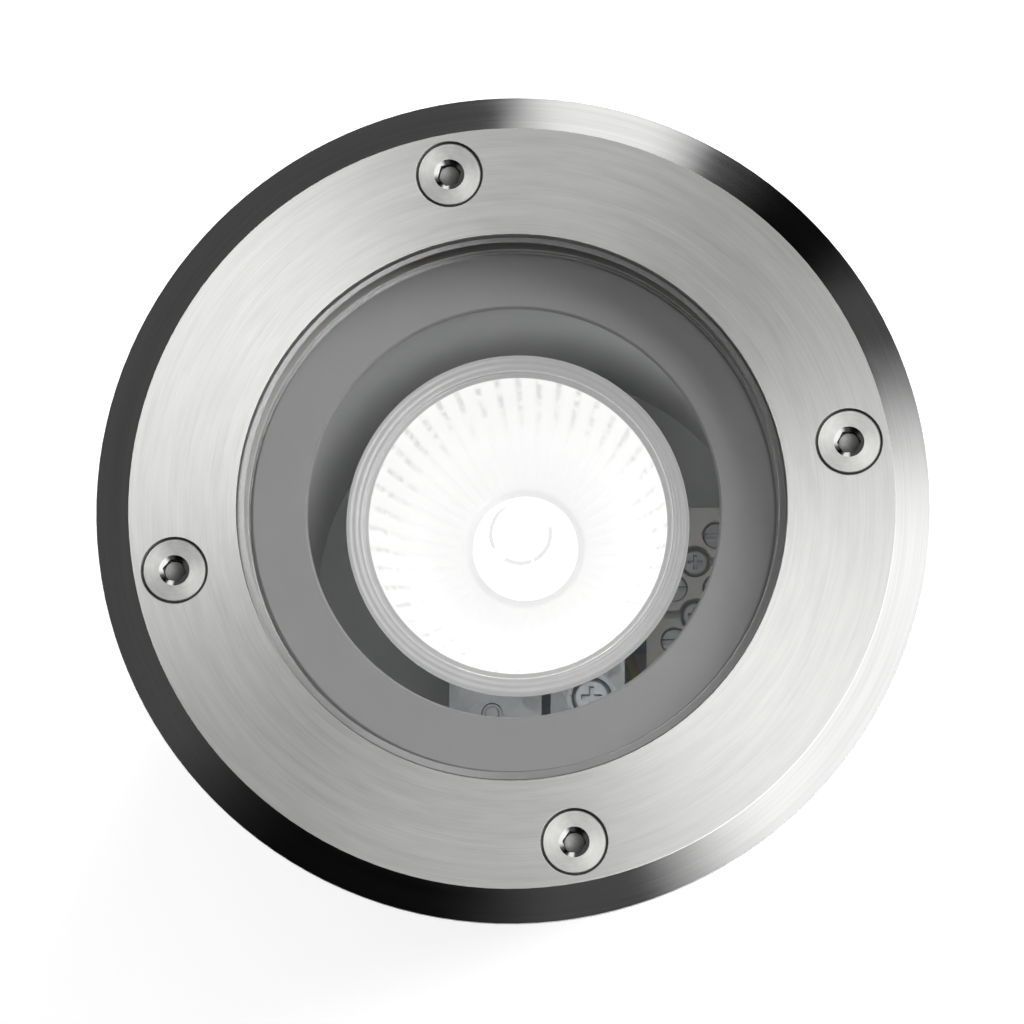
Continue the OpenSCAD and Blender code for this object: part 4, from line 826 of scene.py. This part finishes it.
leads = {
    "radius": 1.2, "sides": 20, "steps": 8,
    "live": [(5, 0, 45.8), (5, 0, 44.3), (5, 0, 42.3), (6, 2.5, 38.3), (9, 6.3, 35.2), (13.05, 8, 33.6),
             (17.05, 8.2, 33.6), (20.85, 8.2, 33.6)],
    "neutral": [(-5, 0, 45.8), (-5, 0, 44.3), (-5, 0, 42.3), (-3.5, -3, 38.3), (2, -6.8, 35),
                (8.05, -8, 33.6), (14.05, -8.2, 33.6), (20.85, -8.2, 33.6)],
    "earth": [(15, -18, 47.2), (19, -18, 47.2), (19.8, -18, 47.2), (21.6, -18.1, 44.3), (21.5, -18, 39.8),
              (18.5, -16.5, 32.6), (14.55, -13, 30.4), (13.05, -8, 30.2), (12.85, -3.5, 31.6),
              (14.05, -0.4, 33.6), (17.05, 0, 33.6), (20.85, 0, 33.6)],
}
for name, slot, material in (("live", "lead_brown", leadBrown), ("neutral", "lead_blue", leadBlue),
                             ("earth", "lead_earth", leadEarth)):
    mesh = grown(name + "Lead", tubeTree, {
        "Radius": leads["radius"] * mm, "Sides": leads["sides"], "Steps": leads["steps"],
        "Material": material}, lineMesh(name + "Route", leads[name]))
    newPiece(name + "Lead", smoothed(mesh, 60), name + "_lead", [material])
print("can and wiring made")

# gland and sleeve
for name, node, slot, material, edgeMm in (
        ("glandBody", "gland_body", "gland_nylon", glandNylon, 0.2),
        ("glandWasher", "gland_washer", "seal_rubber", sealRubber, 0.2),
        ("glandLocknut", "gland_locknut", "gland_nylon", glandNylon, 0.3),
        ("glandSeal", "gland_seal", "seal_rubber", sealRubber, 0.3),
        ("glandCap", "gland_cap", "gland_nylon", glandNylon, 0.25),
        ("groundSleeve", "ground_sleeve", "sleeve_plastic", sleevePlastic, 0.35)):
    refined(name, node, [material], edgeMm)
print("gland and sleeve made")

studio = {
    "keyAzimuth": 40, "keyElevation": 37, "keySize": (1.0, 0.9), "keyLevel": 7.0,
    "topAzimuth": 108, "topElevation": 81, "topSize": (0.8, 0.8), "topLevel": 1.35,
    "boxAway": 1.35,     # metres
    "fill": 0.14,        # what matt surfaces see all round
    "ceiling": 1.03,     # what glossy ones see overhead, round the walls and below
    "walls": 0.13,
    "floor": 0.9,
    "ceilingEdge": (0.86, 0.93), "floorEdge": (0.12, 0.04),   # heights of the direction looked in
    "paperHalf": 4.0,    # metres
    "paperDrop": 0.02,
    "paperLevel": 0.8,   # its own light, for the camera, mirrors and glass
    # what glossy surfaces see besides: azimuth, half width, soft edge in degrees, level
    "whiteWall": (-18, 38.5, 16.5, 2.0),
    "doorway": (81.5, 8.75, 5.75, 1.7),
    "darkCorner": (54.5, 7, 5.5, -0.95),
    "darkCurtain": (238, 24, 14, -0.95),
    "window": (-8, 26, 9, 6.9),
    "windowElevation": 60,
    "skylight": (108, 10, 5, -0.9),
    "skylightElevation": 81,
}


def heading(azimuth, elevation):
    a, e = radians(azimuth), radians(elevation)
    return Vector((cos(a) * cos(e), sin(a) * cos(e), sin(e)))


for name in ("key", "top"):
    data = bpy.data.lights.new(name + "Box", "AREA")
    data.shape = "RECTANGLE"
    width, depth = studio[name + "Size"]
    data.size, data.size_y = width, depth
    data.energy = studio[name + "Level"] * pi * width * depth
    box = linked(name + "Box", data)
    direction = heading(studio[name + "Azimuth"], studio[name + "Elevation"])
    box.location = Vector(view["target"]) + direction * studio["boxAway"]
    box.rotation_euler = direction.to_track_quat("Z", "Y").to_euler()
    box.visible_camera = box.visible_glossy = box.visible_transmission = False

# white to the camera; glossy surfaces see a pale floor, walls with a white stretch, a ceiling and a window
world = bpy.data.worlds.new("studio")
scene.world = world
world.use_nodes = True
tree = world.node_tree
rays = addNode(tree, "LightPath").outputs
way = addNode(tree, "TexCoord").outputs["Generated"]
height = addNode(tree, "SeparateXYZ", {0: way}).outputs["Z"]
flatWay = addNode(tree, "VectorMath", {0: way, 1: (1, 1, 0)}, operation="MULTIPLY")
flatWay = addNode(tree, "VectorMath", {0: flatWay}, operation="NORMALIZE")


# what a card adds in a direction: its level inside its half width, falling to 0 over its soft edge
def cardShare(look, card):
    azimuth, halfWidth, soft, level = studio[card]
    towards = heading(azimuth, studio.get(card + "Elevation", 0))
    near = addNode(tree, "VectorMath", {0: look, 1: towards}, operation="DOT_PRODUCT").outputs["Value"]
    outer, inner = (cos(radians(angle)) for angle in (halfWidth + soft, max(halfWidth - soft, 0)))
    return addNode(tree, "MapRange", {"Value": near, "From Min": outer, "From Max": inner, "To Max": level},
                   interpolation_type="SMOOTHSTEP")


walls = studio["walls"]
for card in ("whiteWall", "doorway"):
    walls = addNode(tree, "Math", {0: walls, 1: cardShare(flatWay, card)}, operation="ADD")
for card in ("darkCorner", "darkCurtain"):
    kept = addNode(tree, "Math", {0: cardShare(flatWay, card), 1: 1.0}, operation="ADD")
    walls = addNode(tree, "Math", {0: walls, 1: kept}, operation="MULTIPLY")
ceiling = studio["ceiling"]
for card in ("window", "skylight"):
    ceiling = addNode(tree, "Math", {0: cardShare(way, card), 1: ceiling}, operation="ADD")
upHigh, downLow = (
    addNode(tree, "MapRange", {"Value": height, "From Min": start, "From Max": full},
            interpolation_type="SMOOTHSTEP") for start, full in (studio["ceilingEdge"], studio["floorEdge"]))
above = addNode(tree, "Mix", {0: upHigh, 2: walls, 3: ceiling})
seen = addNode(tree, "Mix", {0: downLow, 2: above, 3: studio["floor"]})
# light that reaches matt surfaces through the glass counts as glossy, so the diffuse depth sorts it out
firstHand = addNode(tree, "Math", {0: rays["Diffuse Depth"], 1: 0.5}, operation="LESS_THAN")
polished = addNode(tree, "Math", {0: rays["Is Glossy Ray"], 1: firstHand}, operation="MULTIPLY")
mirrored = addNode(tree, "Mix", {0: polished, 2: studio["fill"], 3: seen})
bounces = addNode(tree, "Math", {0: rays["Diffuse Depth"], 1: rays["Glossy Depth"]}, operation="ADD")
straight = addNode(tree, "Math", {0: bounces, 1: 0.5}, operation="LESS_THAN")
straight = addNode(tree, "Math", {0: straight, 1: rays["Is Transmission Ray"]}, operation="MULTIPLY")
white = addNode(tree, "Math", {0: straight, 1: rays["Is Camera Ray"]}, operation="MAXIMUM")
strength = addNode(tree, "Mix", {0: white, 2: mirrored, 3: 1.0})
feed(tree, tree.nodes["Background"], {"Color": (1, 1, 1, 1), "Strength": strength})

# pale floor: white to the camera, and it keeps the object's shadow
floorMesh = bpy.data.meshes.new("floor")
half, drop = studio["paperHalf"], -studio["paperDrop"] * mm
corners = [(x * half, y * half, drop) for x, y in ((-1, -1), (1, -1), (1, 1), (-1, 1))]
floorMesh.from_pydata(corners, [], [(0, 1, 2, 3)])
floor = linked("floor", floorMesh)
paper, tree, shader = newMaterial("paperFloor", {"Base Color": linear("#e9e9e9"), "Roughness": 0.9,
                                                 "Emission Color": (1, 1, 1, 1)})
rays = addNode(tree, "LightPath").outputs
seen = rays["Is Camera Ray"]
for kind, value in (("MAXIMUM", rays["Is Glossy Ray"]), ("MAXIMUM", rays["Is Transmission Ray"]),
                    ("MULTIPLY", studio["paperLevel"])):
    seen = addNode(tree, "Math", {0: seen, 1: value}, operation=kind)
feed(tree, shader, {"Emission Strength": seen})
# from underneath the paper is clear, so that the foot can be looked at
fromBelow = addNode(tree, "NewGeometry").outputs["Backfacing"]
through = addNode(tree, "BsdfTransparent")
oneWay = addNode(tree, "MixShader", {0: fromBelow, 1: shader, 2: through})
feed(tree, tree.nodes["Material Output"], {"Surface": oneWay})
floorMesh.materials.append(paper)
print("studio made")
